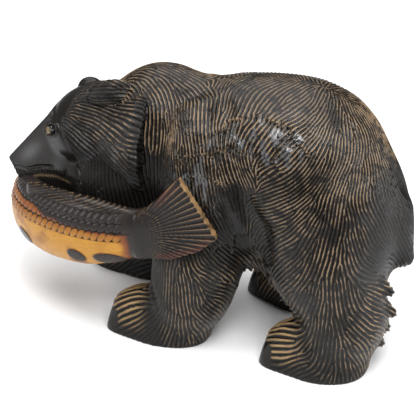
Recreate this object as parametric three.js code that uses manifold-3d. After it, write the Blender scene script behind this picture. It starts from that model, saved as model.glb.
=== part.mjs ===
// A wooden bear with a salmon in its jaws, carved from one block. It stands on its own four paws.
// Millimetres, +Z up. The bear faces -X and its left side is -Y. The origin is on the floor, under the
// middle of the carving.
//
// The carving is described as a field: a function of a point that is negative inside the wood and positive
// outside, in about millimetres. Body, limbs, head and salmon are melted together where the wood runs on, the
// surface is then meshed, the locks of fur are cut into it along the lie of the coat, and the mesh is thinned
// where it is plain.
import * as THREE from "three";
import { mergeVertices } from "three/addons/utils/BufferGeometryUtils.js";
import Module from "manifold-3d";

// Meshing
const CELL = 3.2; // grid step of the first mesh
const COARSE = 4; // grid steps in one block of the coarse search
const LOW = [-236, -124, -12]; // lowest corner of the grid
const HIGH = [232, 124, 296]; // highest corner of the grid
const NEAR_MARGIN = 12; // beyond this far from a small form, its exact shape doesn't matter
const TRIANGLES = 9400; // what the thinned carving keeps
const EDGE_WEIGHT = 0.002; // how much a long edge counts against being taken away
const LEAST_TURN = 0.35; // cosine of the most that a face may turn at one step
const EDGE_PULL = 0.002; // how much an edge's middle draws the vertex that takes its place
const SLIVER = 0.03; // the least area of a face, against the square of its longest side

// The coat
const LOCK_WIDTH = 15;
const LOCK_DEPTH = 1.6;
const SETTLING_ROUNDS = 60;
const RUFF_LOCKS = 26;

// Other carving
const TOE_SHARE = 0.5; // a toe's width as a share of the paw's half width
const TOE_DEPTH = 3;
const SCALE_STEP = 13; // one scale of the salmon
const SCALE_HIGH = 2;
const RAYS_PER_TURN = 60; // rays of the tail fan, were it a full circle
const RAY_DEPTH = 1.6;

// Solid fields

// Turns a point's offset into a form's own axes: roll about X, then pitch about Y, then yaw about Z, all in
// degrees.
function axesOf(turn) {
  const euler = new THREE.Euler(...turn.map(THREE.MathUtils.degToRad), "ZYX");
  const rotation = new THREE.Matrix4().makeRotationFromEuler(euler);
  return new THREE.Matrix3().setFromMatrix4(rotation).transpose().elements;
}

// An egg of three half-widths, turned about its middle.
function egg(at, half, turn = [0, 0, 0]) {
  const m = axesOf(turn);
  return (x, y, z) => {
    const dx = x - at[0];
    const dy = y - at[1];
    const dz = z - at[2];
    const u = (m[0] * dx + m[3] * dy + m[6] * dz) / half[0];
    const v = (m[1] * dx + m[4] * dy + m[7] * dz) / half[1];
    const w = (m[2] * dx + m[5] * dy + m[8] * dz) / half[2];
    const reach = Math.sqrt(u * u + v * v + w * w);
    const slope = Math.sqrt((u / half[0]) ** 2 + (v / half[1]) ** 2 + (w / half[2]) ** 2);
    return slope > 0 ? (reach * (reach - 1)) / slope : -Math.min(...half);
  };
}

// A limb between two points, with a radius at each. It may be flattened along a direction.
function limb(from, to, r0, r1, across = null, flat = 1) {
  const ax = to[0] - from[0];
  const ay = to[1] - from[1];
  const az = to[2] - from[2];
  const length2 = ax * ax + ay * ay + az * az;
  const n = across ? new THREE.Vector3(...across).normalize().toArray() : [0, 0, 0];
  const stretch = 1 / flat - 1;
  return (x, y, z) => {
    const px = x - from[0];
    const py = y - from[1];
    const pz = z - from[2];
    const t = Math.min(1, Math.max(0, (px * ax + py * ay + pz * az) / length2));
    let dx = px - ax * t;
    let dy = py - ay * t;
    let dz = pz - az * t;
    if (across) {
      const thick = (dx * n[0] + dy * n[1] + dz * n[2]) * stretch;
      dx += n[0] * thick;
      dy += n[1] * thick;
      dz += n[2] * thick;
    }
    return (Math.sqrt(dx * dx + dy * dy + dz * dz) - (r0 + (r1 - r0) * t)) * (across ? 0.5 + flat / 2 : 1);
  };
}

// Everything behind a plane through a point, whose normal points out of the wood.
function halfSpace(at, normal) {
  const n = new THREE.Vector3(...normal).normalize();
  return (x, y, z) => (x - at[0]) * n.x + (y - at[1]) * n.y + (z - at[2]) * n.z;
}

// Two fields melted together, or one cut back by another, over a blend in millimetres.
function melt(a, b, blend) {
  const h = Math.max(blend - Math.abs(a - b), 0) / blend;
  return Math.min(a, b) - h * h * blend * 0.25;
}
function trim(a, b, blend) {
  return -melt(-a, -b, blend);
}

// A list of [field, blend] pairs becomes one field.
function joined(pairs) {
  const [[first], ...rest] = pairs;
  return (x, y, z) => rest.reduce((d, [field, blend]) => melt(d, field(x, y, z), blend), first(x, y, z));
}

// Several fields kept only where all of them are inside, with edges eased over a blend.
function facets(planes, blend) {
  return (x, y, z) => planes.reduce((d, plane) => trim(d, plane(x, y, z), blend), -Infinity);
}

// A field that is only looked at near its own place. Further off, the distance to that place will do.
function near(at, reach, field) {
  return (x, y, z) => {
    const away = Math.hypot(x - at[0], y - at[1], z - at[2]) - reach;
    return away > NEAR_MARGIN ? away : field(x, y, z);
  };
}

// A point part of the way from one point to another.
function between(a, b, t) {
  return a.map((v, i) => v + (b[i] - v) * t);
}

// A row of tufts: tapering locks that hang from a line of the body, every other one longer.
function fringe(from, to, count, lean, reach, thick) {
  const way = new THREE.Vector3(...lean).normalize().toArray();
  const tufts = Array.from({ length: count }, (_, i) => {
    const root = between(from, to, count > 1 ? i / (count - 1) : 0);
    const long = reach * (i % 2 ? 0.72 : 1);
    return [limb(root, root.map((v, axis) => v + way[axis] * long), thick, thick * 0.28), 2];
  });
  const middle = between(from, to, 0.5);
  const half = Math.hypot(...from.map((v, i) => v - to[i])) / 2;
  return near(middle, half + reach + thick, joined(tufts));
}

// The body

const torso = joined([
  [egg([105, 0, 168], [79, 77, 98]), 0], // rump
  [egg([137, 0, 132], [66, 72, 76]), 24], // haunches
  [egg([50, 0, 178], [92, 76, 88]), 30], // loin and belly
  [egg([-42, 0, 173], [74, 56, 93]), 24], // hump and chest
  [egg([-82, -6, 138], [52, 58, 60]), 25], // breast
  [limb([190, -4, 150], [203, -8, 106], 16, 9), 14], // tail, pressed to the rump
]);
const shoulders = joined([
  [egg([16, -44, 178], [40, 38, 72], [0, -12, 0]), 0],
  [egg([-14, 42, 174], [42, 36, 68], [0, 4, 0]), 20],
]);

// One leg: the joints down its middle, with a radius at each and a share of it across, and the paw as a
// quarter of an egg whose outer side is cut flat. Three gouges part its toes.
function leg(joints, paw) {
  const across = [0, 1, 0];
  const bone = (j, i) => limb(joints[i].at, j.at, joints[i].r, j.r, across, j.flat);
  const pairs = joints.slice(1).map((j, i) => [bone(j, i), 20]);
  const { at, half, side } = paw;
  const dome = egg(at, half);
  const flats = [
    halfSpace([at[0] - half[0] * 0.94, at[1], 0], [-1, 0, 0.25]),
    halfSpace([at[0] - half[0] * 0.7, at[1] + side * half[1] * 0.68, 0], [-0.22, side, 0.12]),
    halfSpace([at[0] - half[0] * 0.7, at[1] - side * half[1] * 0.86, 0], [-0.3, -side, 0.2]),
  ];
  const toes = (x, y, z) => {
    const front = THREE.MathUtils.smoothstep(at[0] - x, half[0] * 0.1, half[0] * 0.5);
    const gouge = Math.abs(Math.cos((Math.PI * (y - at[1])) / (half[1] * TOE_SHARE)));
    const cut = flats.reduce((d, flat) => trim(d, flat(x, y, z), 5), dome(x, y, z));
    return cut + TOE_DEPTH * front * (1 - gouge);
  };
  pairs.push([near(at, half[0] * 1.1, toes), 12]);
  return joined(pairs);
}

const nearHind = leg(
  [
    { at: [122, -38, 150], r: 50 },
    { at: [136, -47, 105], r: 46, flat: 0.92 },
    { at: [158, -52, 58], r: 37, flat: 1 },
    { at: [146, -51, -4], r: 35, flat: 1 },
  ],
  { at: [128, -64, 0], half: [52, 31, 49], side: -1 },
);
const farHind = leg(
  [
    { at: [112, 38, 150], r: 48 },
    { at: [90, 46, 105], r: 44, flat: 0.92 },
    { at: [98, 54, 58], r: 37, flat: 1 },
    { at: [90, 56, -4], r: 36, flat: 0.96 },
  ],
  { at: [72, 62, 0], half: [50, 30, 46], side: 1 },
);
const nearFore = leg(
  [
    { at: [8, -40, 160], r: 40 },
    { at: [10, -54, 92], r: 40, flat: 0.92 },
    { at: [3, -54, 55], r: 35, flat: 0.96 },
    { at: [-14, -48, -4], r: 27, flat: 1 },
  ],
  { at: [-36, -57, 0], half: [53, 29, 50], side: -1 },
);
const farFore = leg(
  [
    { at: [-35, 38, 165], r: 44 },
    { at: [-54, 50, 105], r: 38, flat: 0.9 },
    { at: [-74, 58, 58], r: 33, flat: 0.95 },
    { at: [-84, 61, -4], r: 29, flat: 0.98 },
  ],
  { at: [-108, 63, 0], half: [50, 28, 42], side: 1 },
);

// Fur that hangs clear of the body and limbs
const fringes = [
  fringe([42, -54, 94], [4, -46, 8], 9, [0.8, -0.05, -0.45], 22, 8), // near elbow to heel
  fringe([188, -36, 82], [176, -36, 8], 7, [0.75, 0.05, -0.5], 20, 8), // near hock
  fringe([92, -58, 92], [122, -64, 62], 5, [-0.75, 0, -0.5], 13, 8), // front of the near thigh
  fringe([44, -44, 98], [76, -48, 96], 3, [0.1, 0, -1], 14, 8), // belly, near side
  fringe([10, -80, 152], [50, -74, 152], 5, [0.12, -0.2, -1], 32, 7), // ends of the shoulder fur
  fringe([-24, 50, 92], [-52, 56, 12], 7, [0.8, 0.1, -0.45], 16, 8), // far elbow to heel
  fringe([124, 44, 84], [118, 48, 12], 6, [0.75, 0, -0.5], 15, 8), // far hock
  fringe([54, 52, 92], [68, 58, 62], 4, [-0.75, 0, -0.5], 12, 7), // front of the far thigh
  fringe([10, 40, 98], [44, 42, 96], 3, [0.1, 0, -1], 14, 8), // belly, far side
];

// The head

const MUZZLE = { noseX: -213, noseZ: 146, middleY: -6, halfAtNose: 10 };
const { noseX, noseZ, middleY, halfAtNose } = MUZZLE;
const muzzle = facets(
  [
    halfSpace([noseX, middleY, noseZ], [-0.75, 0, 0.66]), // bridge
    halfSpace([noseX, middleY, noseZ - 2], [-0.8, 0, -0.6]), // nose, cut back to the mouth
    halfSpace([noseX + 5, middleY - halfAtNose, noseZ], [-0.25, -0.96, 0.05]), // near cheek
    halfSpace([noseX + 5, middleY + halfAtNose, noseZ], [-0.25, 0.96, 0.05]), // far cheek
    halfSpace([noseX + 12, middleY, 124], [-0.12, 0, -1]), // jaw
    halfSpace([-158, middleY, 209], [0.75, 0, 0.66]), // where the skull takes over
  ],
  5,
);
const skull = joined([
  [egg([-112, -4, 193], [55, 43, 44], [0, -20, 0]), 0],
  [muzzle, 9],
]);
const ruffCone = limb([-138, -5, 184], [-54, -7, 190], 26, 62);
const ruffEnd = halfSpace([-46, -20, 205], [1, -0.05, 0.05]);
const ruff = (x, y, z) => trim(ruffCone(x, y, z), ruffEnd(x, y, z), 3);
const neck = limb([-30, 0, 190], [-100, -2, 190], 46, 44);
const throat = limb([-132, -14, 152], [-86, -22, 136], 24, 42);

// The ruff ends in a ring of locks that stand over the shoulders.
const ruffLocks = joined(
  Array.from({ length: RUFF_LOCKS }, (_, i) => {
    const angle = ((i + 0.5) / RUFF_LOCKS) * 2 * Math.PI;
    const out = [Math.cos(angle), Math.sin(angle)];
    const place = (x, radius) => [x, -7 + out[0] * radius, 190 + out[1] * radius];
    return [limb(place(-66, 50), place(-38 + (i % 2) * 4, 58), 8, 3), 2];
  }),
);

function ear(at, side) {
  const turn = [side * 12, 25, 25 * side];
  const shell = egg(at, [14, 8, 15], turn);
  const bowl = egg([at[0] - 7, at[1] + side * 4, at[2] + 2], [9, 7, 10], turn);
  return (x, y, z) => trim(shell(x, y, z), -bowl(x, y, z), 3);
}
const ears = joined([
  [ear([-113, -22, 233], -1), 0],
  [ear([-105, 22, 229], 1), 2],
]);

// Where a line along Y meets the skin, coming in from outside on one side.
function skin(field, x, z, side) {
  let out = side * 130;
  let inside = 0;
  for (let i = 0; i < 30; i++) {
    const y = (out + inside) / 2;
    if (field(x, y, z) < 0) inside = y;
    else out = y;
  }
  return [x, out, z];
}

// A gouge along places on one side of a form, given as they are seen from that side.
function gouge(field, places, side, width) {
  const points = places.map(([x, z]) => skin(field, x, z, side));
  const runs = points.slice(1).map((p, i) => [limb(points[i], p, width, width), 0.5]);
  return joined(runs);
}

const MOUTH = [
  [-204, 136],
  [-190, 134],
  [-172, 144],
  [-146, 150],
];
const EYE = [-154, 194];
function face(side) {
  const lips = gouge(skull, MOUTH, side, 2.6);
  const at = skin(skull, EYE[0], EYE[1], side);
  const socket = egg(at, [11, 4.5, 7], [0, 38, 0]);
  const ball = egg([at[0] + 1, at[1] - side * 2, at[2]], [6.5, 5.5, 5.5]);
  return { cuts: [near([-175, at[1], 145], 45, lips), socket], ball };
}
const nearFace = face(-1);
const farFace = face(1);
const cuts = [...nearFace.cuts, ...farFace.cuts];
const head = (x, y, z) => {
  const open = cuts.reduce((d, cut) => trim(d, -cut(x, y, z), 2), skull(x, y, z));
  return Math.min(open, nearFace.ball(x, y, z), farFace.ball(x, y, z));
};

// The salmon

// Stations along the salmon, tail root first: middle, half height up and down, and half thickness.
const SALMON = [
  { at: [-24, -88, 131], up: 21, down: 22, half: 9 },
  { at: [-60, -87, 124], up: 29, down: 31, half: 15 },
  { at: [-96, -80, 117], up: 36, down: 38, half: 18 },
  { at: [-136, -65, 110], up: 37, down: 38, half: 20 },
  { at: [-170, -42, 103], up: 36, down: 34, half: 20 },
  { at: [-192, -10, 98], up: 33, down: 34, half: 20 },
  { at: [-196, 26, 99], up: 32, down: 32, half: 20 },
  { at: [-184, 60, 104], up: 27, down: 27, half: 18 },
  { at: [-163, 84, 110], up: 13, down: 14, half: 10 },
];
const SALMON_STEPS = 48;
const GILL = 0.72; // where the gill cover ends, as a share of the length
const FIN_THICK = 2.6;

// The salmon's middle line as short steps, each with its place, run and widths.
const salmonLine = (() => {
  const middles = SALMON.map((s) => new THREE.Vector3(...s.at));
  const spine = new THREE.CatmullRomCurve3(middles, false, "centripetal");
  const widths = new THREE.CatmullRomCurve3(SALMON.map((s) => new THREE.Vector3(s.up, s.down, s.half)));
  return Array.from({ length: SALMON_STEPS + 1 }, (_, i) => {
    const at = spine.getPoint(i / SALMON_STEPS);
    const w = widths.getPoint(i / SALMON_STEPS);
    return { x: at.x, y: at.y, z: at.z, up: w.x, down: w.y, half: w.z };
  });
})();
const salmonLength = salmonLine
  .slice(1)
  .reduce((sum, b, i) => sum + Math.hypot(b.x - salmonLine[i].x, b.y - salmonLine[i].y), 0);

// A point in the salmon's own measure: along from the tail root, out from its middle line towards the near
// side and the front, and up from its middle.
function onSalmon(x, y, z) {
  let best = Infinity;
  let found = null;
  let run = 0;
  for (let i = 0; i < SALMON_STEPS; i++) {
    const a = salmonLine[i];
    const b = salmonLine[i + 1];
    const ex = b.x - a.x;
    const ey = b.y - a.y;
    const step = Math.sqrt(ex * ex + ey * ey);
    const share = ((x - a.x) * ex + (y - a.y) * ey) / (step * step);
    const t = Math.min(1, Math.max(0, share));
    const dx = x - a.x - ex * t;
    const dy = y - a.y - ey * t;
    const d = dx * dx + dy * dy;
    if (d < best) {
      best = d;
      const past = (share - t) * step;
      found = { a, b, t, along: run + t * step, past, across: (dx * ey - dy * ex) / step };
    }
    run += step;
  }
  const { a, b, t } = found;
  const mix = (key) => a[key] + (b[key] - a[key]) * t;
  return { ...found, rise: z - mix("z"), up: mix("up"), down: mix("down"), half: mix("half") };
}

// Height of the overlapping scales, the gill cover and the mouth at a place on the salmon's side.
function salmonRelief(s) {
  const level = s.rise / (s.rise > 0 ? s.up : s.down);
  const share = s.along / salmonLength;
  const row = Math.floor(s.rise / SCALE_STEP);
  const along = s.along / SCALE_STEP + (row & 1 ? 0.5 : 0);
  const round = Math.abs(((s.rise / SCALE_STEP) % 1) + (s.rise < 0 ? 1 : 0) - 0.5);
  const lap = (along + round * round * 1.6) % 1;
  const { smoothstep } = THREE.MathUtils;
  const scaly = smoothstep(level, -0.42, -0.3) * (1 - smoothstep(level, 0.72, 0.86));
  const body = smoothstep(share, 0.06, 0.12) * (1 - smoothstep(share, GILL - 0.04, GILL));
  const cover = Math.exp(-(((share - GILL - 0.03 * level * level) * salmonLength) ** 2) / 5);
  const lips = share > 0.86 ? Math.exp(-(((s.rise + 3) / 2) ** 2)) : 0;
  return SCALE_HIGH * scaly * body * (1 - lap) - 1.8 * cover - 2 * lips;
}

function salmonBody(x, y, z) {
  const s = onSalmon(x, y, z);
  const tall = s.rise > 0 ? s.up : s.down;
  const u = s.across / s.half;
  const v = s.rise / tall;
  const w = s.past / s.half;
  const reach = Math.sqrt(u * u + v * v + w * w);
  const slope = Math.sqrt((u / s.half) ** 2 + (v / tall) ** 2 + (w / s.half) ** 2);
  const plain = slope > 0 ? (reach * (reach - 1)) / slope : -s.half;
  return Math.abs(plain) > 8 ? plain : plain - salmonRelief(s);
}

// A place on the salmon's outer side, from its share of the length and its level between belly and back.
function onSide(share, level) {
  const i = Math.min(SALMON_STEPS - 1, Math.floor(share * SALMON_STEPS));
  const a = salmonLine[i];
  const b = salmonLine[i + 1];
  const step = Math.hypot(b.x - a.x, b.y - a.y);
  const out = [(a.y - b.y) / step, (b.x - a.x) / step, 0];
  const wide = a.half * Math.sqrt(1 - level * level);
  const at = [a.x + out[0] * wide, a.y + out[1] * wide, a.z + level * (level > 0 ? a.up : a.down)];
  return { at, out };
}

// A fin that lies on the salmon's side: a thin leaf from its root to its tip.
function fin(root, tip, wide) {
  const from = onSide(...root);
  const to = onSide(...tip);
  const leaf = limb(from.at, to.at, wide, wide * 0.6, from.out, FIN_THICK / wide);
  return near(between(from.at, to.at, 0.5), wide + 20, leaf);
}

// The tail fan, a plate whose outline is a convex run of corners seen from the side, with gouged rays.
const FAN = [
  [-36, 106],
  [-4, 108],
  [24, 122],
  [43, 139],
  [5, 196],
  [-34, 152],
];
const FAN_Y = -91;
const FAN_HALF = 5;
const FAN_ROOT = [-46, 128];
function tailFan(x, y, z) {
  let edge = -Infinity;
  FAN.forEach(([ax, az], i) => {
    const [bx, bz] = FAN[(i + 1) % FAN.length];
    const length = Math.hypot(bx - ax, bz - az);
    edge = Math.max(edge, ((x - ax) * (bz - az) - (z - az) * (bx - ax)) / length);
  });
  const angle = Math.atan2(z - FAN_ROOT[1], x - FAN_ROOT[0]);
  const away = Math.hypot(z - FAN_ROOT[1], x - FAN_ROOT[0]);
  const ray = Math.abs(Math.sin(angle * RAYS_PER_TURN * 0.5));
  const deep = RAY_DEPTH * THREE.MathUtils.smoothstep(away, 15, 45) * (1 - ray);
  return trim(edge, Math.abs(y - FAN_Y) - FAN_HALF + deep, 3);
}

const salmonEye = egg(onSide(0.86, 0.35).at, [5, 5, 5]);
const salmon = joined([
  [salmonBody, 0],
  [near([0, FAN_Y, 150], 70, tailFan), 10],
  [fin([0.44, 0.8], [0.3, 0.94], 9), 2], // on the back
  [fin([0.42, -0.78], [0.34, -0.86], 8), 2], // under the belly
  [fin([0.24, -0.62], [0.16, -0.74], 8), 2], // before the tail
  [fin([0.67, -0.3], [0.6, -0.6], 7), 2], // behind the gill
  [salmonEye, 1],
]);

// The whole carving, which runs on below the floor until it is sawn off flat there

const uncut = joined([
  [torso, 0],
  [shoulders, 14],
  [nearHind, 22],
  [farHind, 22],
  [nearFore, 16],
  [farFore, 18],
  [neck, 14],
  [throat, 14],
  [ruff, 4],
  [ruffLocks, 3],
  [head, 7],
  [ears, 4],
  ...fringes.map((row) => [row, 4]),
  [salmon, 3],
]);
const bear = (x, y, z) => Math.max(uncut(x, y, z), LOW[2] + CELL - z);

// Meshing by marching tetrahedra, which always gives one closed skin

// Field values on the grid. A block far from the skin keeps the value at its middle.
function sampled(field) {
  const n = LOW.map((low, i) => Math.ceil((HIGH[i] - low) / CELL / COARSE) * COARSE + 1);
  const values = new Float32Array(n[0] * n[1] * n[2]);
  const done = new Uint8Array(values.length);
  const at = (i, axis) => LOW[axis] + i * CELL;
  const reach = COARSE * CELL * 1.6;
  for (let k = 0; k < n[2] - 1; k += COARSE)
    for (let j = 0; j < n[1] - 1; j += COARSE)
      for (let i = 0; i < n[0] - 1; i += COARSE) {
        const half = COARSE / 2;
        const middle = field(at(i + half, 0), at(j + half, 1), at(k + half, 2));
        const near = Math.abs(middle) < reach;
        for (let c = k; c <= k + COARSE; c++)
          for (let b = j; b <= j + COARSE; b++)
            for (let a = i; a <= i + COARSE; a++) {
              const o = a + n[0] * (b + n[1] * c);
              if (done[o] === 2 || (done[o] === 1 && !near)) continue;
              values[o] = near ? field(at(a, 0), at(b, 1), at(c, 2)) : middle;
              done[o] = near ? 2 : 1;
            }
      }
  return { n, values };
}

// The six tetrahedra of a cube, all around its long diagonal, as corner numbers whose bits are x, y and z.
const TETRAHEDRA = [
  [0, 1, 3, 7],
  [0, 3, 2, 7],
  [0, 2, 6, 7],
  [0, 6, 4, 7],
  [0, 4, 5, 7],
  [0, 5, 1, 7],
];

function meshOf(field) {
  const { n, values } = sampled(field);
  const places = [];
  const faces = [];
  const known = new Map();
  const offset = (c) => (c & 1) + n[0] * (((c >> 1) & 1) + n[1] * ((c >> 2) & 1));
  const offsets = Array.from({ length: 8 }, (_, c) => offset(c));
  const spot = (o) => {
    const i = o % n[0];
    const j = Math.floor(o / n[0]) % n[1];
    const k = Math.floor(o / n[0] / n[1]);
    return [LOW[0] + i * CELL, LOW[1] + j * CELL, LOW[2] + k * CELL];
  };
  const cross = (p, q) => {
    const [a, b] = p < q ? [p, q] : [q, p];
    const key = a * 8 + offsets.indexOf(b - a);
    let id = known.get(key);
    if (id === undefined) {
      id = places.length / 3;
      known.set(key, id);
      const t = Math.min(0.9, Math.max(0.1, values[a] / (values[a] - values[b])));
      const pa = spot(a);
      const pb = spot(b);
      places.push(...pa.map((v, axis) => v + (pb[axis] - v) * t));
    }
    return id;
  };
  for (let k = 0; k < n[2] - 1; k++)
    for (let j = 0; j < n[1] - 1; j++)
      for (let i = 0; i < n[0] - 1; i++) {
        const o = i + n[0] * (j + n[1] * k);
        let inside = 0;
        for (let c = 0; c < 8; c++) inside += values[o + offsets[c]] < 0 ? 1 : 0;
        if (inside === 0 || inside === 8) continue;
        for (const tetrahedron of TETRAHEDRA) {
          const [a, b, c, d] = tetrahedron.map((v) => o + offsets[v]);
          const mask = (values[a] < 0) + 2 * (values[b] < 0) + 4 * (values[c] < 0) + 8 * (values[d] < 0);
          if (mask === 0 || mask === 15) continue;
          const flip = mask > 7;
          const solid = flip ? 15 - mask : mask;
          const put = (p, q, r) => faces.push(...(flip ? [p, r, q] : [p, q, r]));
          if (solid === 1) put(cross(a, b), cross(a, c), cross(a, d));
          if (solid === 2) put(cross(b, a), cross(b, d), cross(b, c));
          if (solid === 4) put(cross(c, a), cross(c, b), cross(c, d));
          if (solid === 7) put(cross(d, a), cross(d, b), cross(d, c));
          if (solid === 3) {
            put(cross(a, c), cross(a, d), cross(b, d));
            put(cross(a, c), cross(b, d), cross(b, c));
          }
          if (solid === 5) {
            put(cross(a, b), cross(c, d), cross(a, d));
            put(cross(a, b), cross(b, c), cross(c, d));
          }
          if (solid === 6) {
            put(cross(a, b), cross(b, d), cross(c, d));
            put(cross(a, b), cross(c, d), cross(a, c));
          }
        }
      }
  return { places: Float64Array.from(places), faces: Uint32Array.from(faces) };
}

// The lie of the coat

// Sweeps of the gouge on the near side: a place on the coat and the way its fur runs there. The far side
// mirrors them.
const SWEEPS = [
  // Hump and neck
  [[-90, -10, 248], [1, -0.1, 0.2]],
  [[-50, -12, 262], [1, -0.2, 0.1]],
  [[-15, -20, 260], [0.9, -0.3, -0.4]],
  [[15, -45, 240], [0.4, -0.4, -0.8]],
  [[-35, -45, 235], [0.1, -0.4, -0.9]],
  [[-40, -55, 190], [-0.1, 0, -1]],
  // Shoulder
  [[0, -75, 210], [0, -0.1, -1]],
  [[15, -85, 170], [0.05, 0, -1]],
  [[30, -80, 130], [0.2, 0, -1]],
  [[45, -76, 195], [-0.3, 0, -0.9]],
  // Back and flank
  [[30, -10, 262], [-0.5, -0.8, -0.1]],
  [[100, -10, 264], [-0.6, -0.8, -0.2]],
  [[75, -50, 245], [-0.6, -0.4, -0.7]],
  [[70, -74, 205], [-0.6, 0, -0.75]],
  [[78, -78, 155], [-1, 0, -0.2]],
  [[82, -78, 120], [-0.9, 0, -0.35]],
  // Haunch and near hind leg
  [[115, -78, 205], [-0.5, 0, -0.85]],
  [[118, -84, 145], [-0.5, 0, -0.85]],
  [[135, -60, 240], [0, -0.3, -0.95]],
  [[145, -82, 180], [0, 0, -1]],
  [[165, -45, 232], [0.4, -0.1, -0.9]],
  [[182, -60, 175], [0.3, 0, -0.95]],
  [[203, -30, 130], [0.15, 0, -1]],
  [[105, -80, 85], [-0.8, 0, -0.55]],
  [[150, -90, 95], [0, 0, -1]],
  [[190, -45, 85], [0.7, 0, -0.7]],
  [[122, -88, 35], [-0.7, 0, -0.7]],
  [[150, -90, 30], [0, 0, -1]],
  [[175, -75, 25], [0.5, 0, -0.85]],
  // Near foreleg
  [[-8, -88, 70], [0, 0, -1]],
  [[30, -84, 60], [0.85, 0, -0.5]],
  [[-25, -80, 25], [-0.5, 0, -0.85]],
  [[2, -78, 18], [0.25, 0, -1]],
  // Ruff and breast
  [[-128, -30, 215], [1, -0.2, 0.1]],
  [[-85, -40, 228], [1, -0.2, 0]],
  [[-85, -55, 190], [0.9, -0.25, -0.35]],
  [[-62, -62, 160], [0.8, -0.2, -0.6]],
  [[-100, -50, 165], [0.65, -0.3, -0.7]],
  [[-90, -55, 120], [0.1, 0, -1]],
].flatMap(([at, way]) => [
  { at, way: new THREE.Vector3(...way).normalize().toArray() },
  { at: [at[0], -at[1], at[2]], way: new THREE.Vector3(way[0], -way[1], way[2]).normalize().toArray() },
]);

// The way the fur runs at a point, from the sweeps around it, the nearest counting most.
function lie(x, y, z) {
  const sum = [0, 0, 0];
  for (const { at, way } of SWEEPS) {
    const away = (x - at[0]) ** 2 + (y - at[1]) ** 2 + (z - at[2]) ** 2 + 60;
    const weight = 1 / (away * away);
    for (let axis = 0; axis < 3; axis++) sum[axis] += way[axis] * weight;
  }
  return sum;
}

// How much coat there is at a point, from 0 on bare wood to 1 on full fur.
const bareFields = [salmon, muzzle, ears, nearFace.ball, farFace.ball];
function coat(x, y, z) {
  const bare = Math.min(...bareFields.map((field) => field(x, y, z)));
  return THREE.MathUtils.smoothstep(bare, 1, 9) * THREE.MathUtils.smoothstep(z, 6, 16);
}

// Unit normals of a mesh's vertices.
function normalsOf({ places, faces }) {
  const normals = new Float64Array(places.length);
  for (let f = 0; f < faces.length; f += 3) {
    const [a, b, c] = [faces[f] * 3, faces[f + 1] * 3, faces[f + 2] * 3];
    const u = [0, 1, 2].map((i) => places[b + i] - places[a + i]);
    const v = [0, 1, 2].map((i) => places[c + i] - places[a + i]);
    const n = [u[1] * v[2] - u[2] * v[1], u[2] * v[0] - u[0] * v[2], u[0] * v[1] - u[1] * v[0]];
    for (const corner of [a, b, c]) for (let i = 0; i < 3; i++) normals[corner + i] += n[i];
  }
  for (let v = 0; v < normals.length; v += 3) {
    const size = Math.hypot(normals[v], normals[v + 1], normals[v + 2]) || 1;
    for (let i = 0; i < 3; i++) normals[v + i] /= size;
  }
  return normals;
}

// Each vertex's neighbours, as one long list and the place in it where each vertex's own begin.
function neighboursOf({ places, faces }) {
  const count = places.length / 3;
  const start = new Uint32Array(count + 1);
  for (const v of faces) start[v + 1]++;
  for (let v = 0; v < count; v++) start[v + 1] += start[v];
  const list = new Uint32Array(faces.length);
  const next = start.slice();
  for (let f = 0; f < faces.length; f += 3)
    for (let i = 0; i < 3; i++) list[next[faces[f + i]]++] = faces[f + ((i + 1) % 3)];
  return { start, list };
}

// The locks: a wave that rises and falls across the fur. Its phase spreads from vertex to vertex along the
// skin and settles, so that the valleys run with the lie of the coat wherever it turns.
function carveLocks(mesh) {
  const { places } = mesh;
  const count = places.length / 3;
  const normals = normalsOf(mesh);
  const { start, list } = neighboursOf(mesh);
  const side = new Float64Array(places.length);
  for (let v = 0; v < places.length; v += 3) {
    const [dx, dy, dz] = lie(places[v], places[v + 1], places[v + 2]);
    const [nx, ny, nz] = [normals[v], normals[v + 1], normals[v + 2]];
    const s = [ny * dz - nz * dy, nz * dx - nx * dz, nx * dy - ny * dx];
    const size = Math.hypot(...s) || 1;
    for (let i = 0; i < 3; i++) side[v + i] = s[i] / size;
  }
  const turn = (v, w) => {
    let run = 0;
    for (let i = 0; i < 3; i++) {
      const across = side[v * 3 + i] + side[w * 3 + i];
      run += across * (places[v * 3 + i] - places[w * 3 + i]);
    }
    return (run * Math.PI) / LOCK_WIDTH;
  };
  const re = new Float64Array(count);
  const im = new Float64Array(count);
  const settle = (v) => {
    let a = 0;
    let b = 0;
    for (let e = start[v]; e < start[v + 1]; e++) {
      const w = list[e];
      const t = turn(v, w);
      const c = Math.cos(t);
      const s = Math.sin(t);
      a += re[w] * c - im[w] * s;
      b += re[w] * s + im[w] * c;
    }
    const size = Math.hypot(a, b) || 1;
    re[v] = a / size;
    im[v] = b / size;
  };
  const queue = new Uint32Array(count);
  const seen = new Uint8Array(count);
  for (let seed = 0, tail = 0, head = 0; seed < count; seed++) {
    if (seen[seed]) continue;
    seen[seed] = 1;
    re[seed] = 1;
    queue[tail++] = seed;
    while (head < tail) {
      const v = queue[head++];
      if (v !== seed) settle(v);
      for (let e = start[v]; e < start[v + 1]; e++) {
        if (seen[list[e]]) continue;
        seen[list[e]] = 1;
        queue[tail++] = list[e];
      }
    }
  }
  for (let round = 0; round < SETTLING_ROUNDS; round++) for (let v = 0; v < count; v++) settle(v);
  const carved = places.slice();
  for (let v = 0; v < count; v++) {
    const [x, y, z] = places.subarray(v * 3, v * 3 + 3);
    const ridge = Math.sqrt((1 + re[v]) / 2);
    const rise = LOCK_DEPTH * (ridge - 0.65) * coat(x, y, z);
    for (let i = 0; i < 3; i++) carved[v * 3 + i] += normals[v * 3 + i] * rise;
  }
  return { places: carved, faces: mesh.faces };
}

// Thinning

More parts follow.
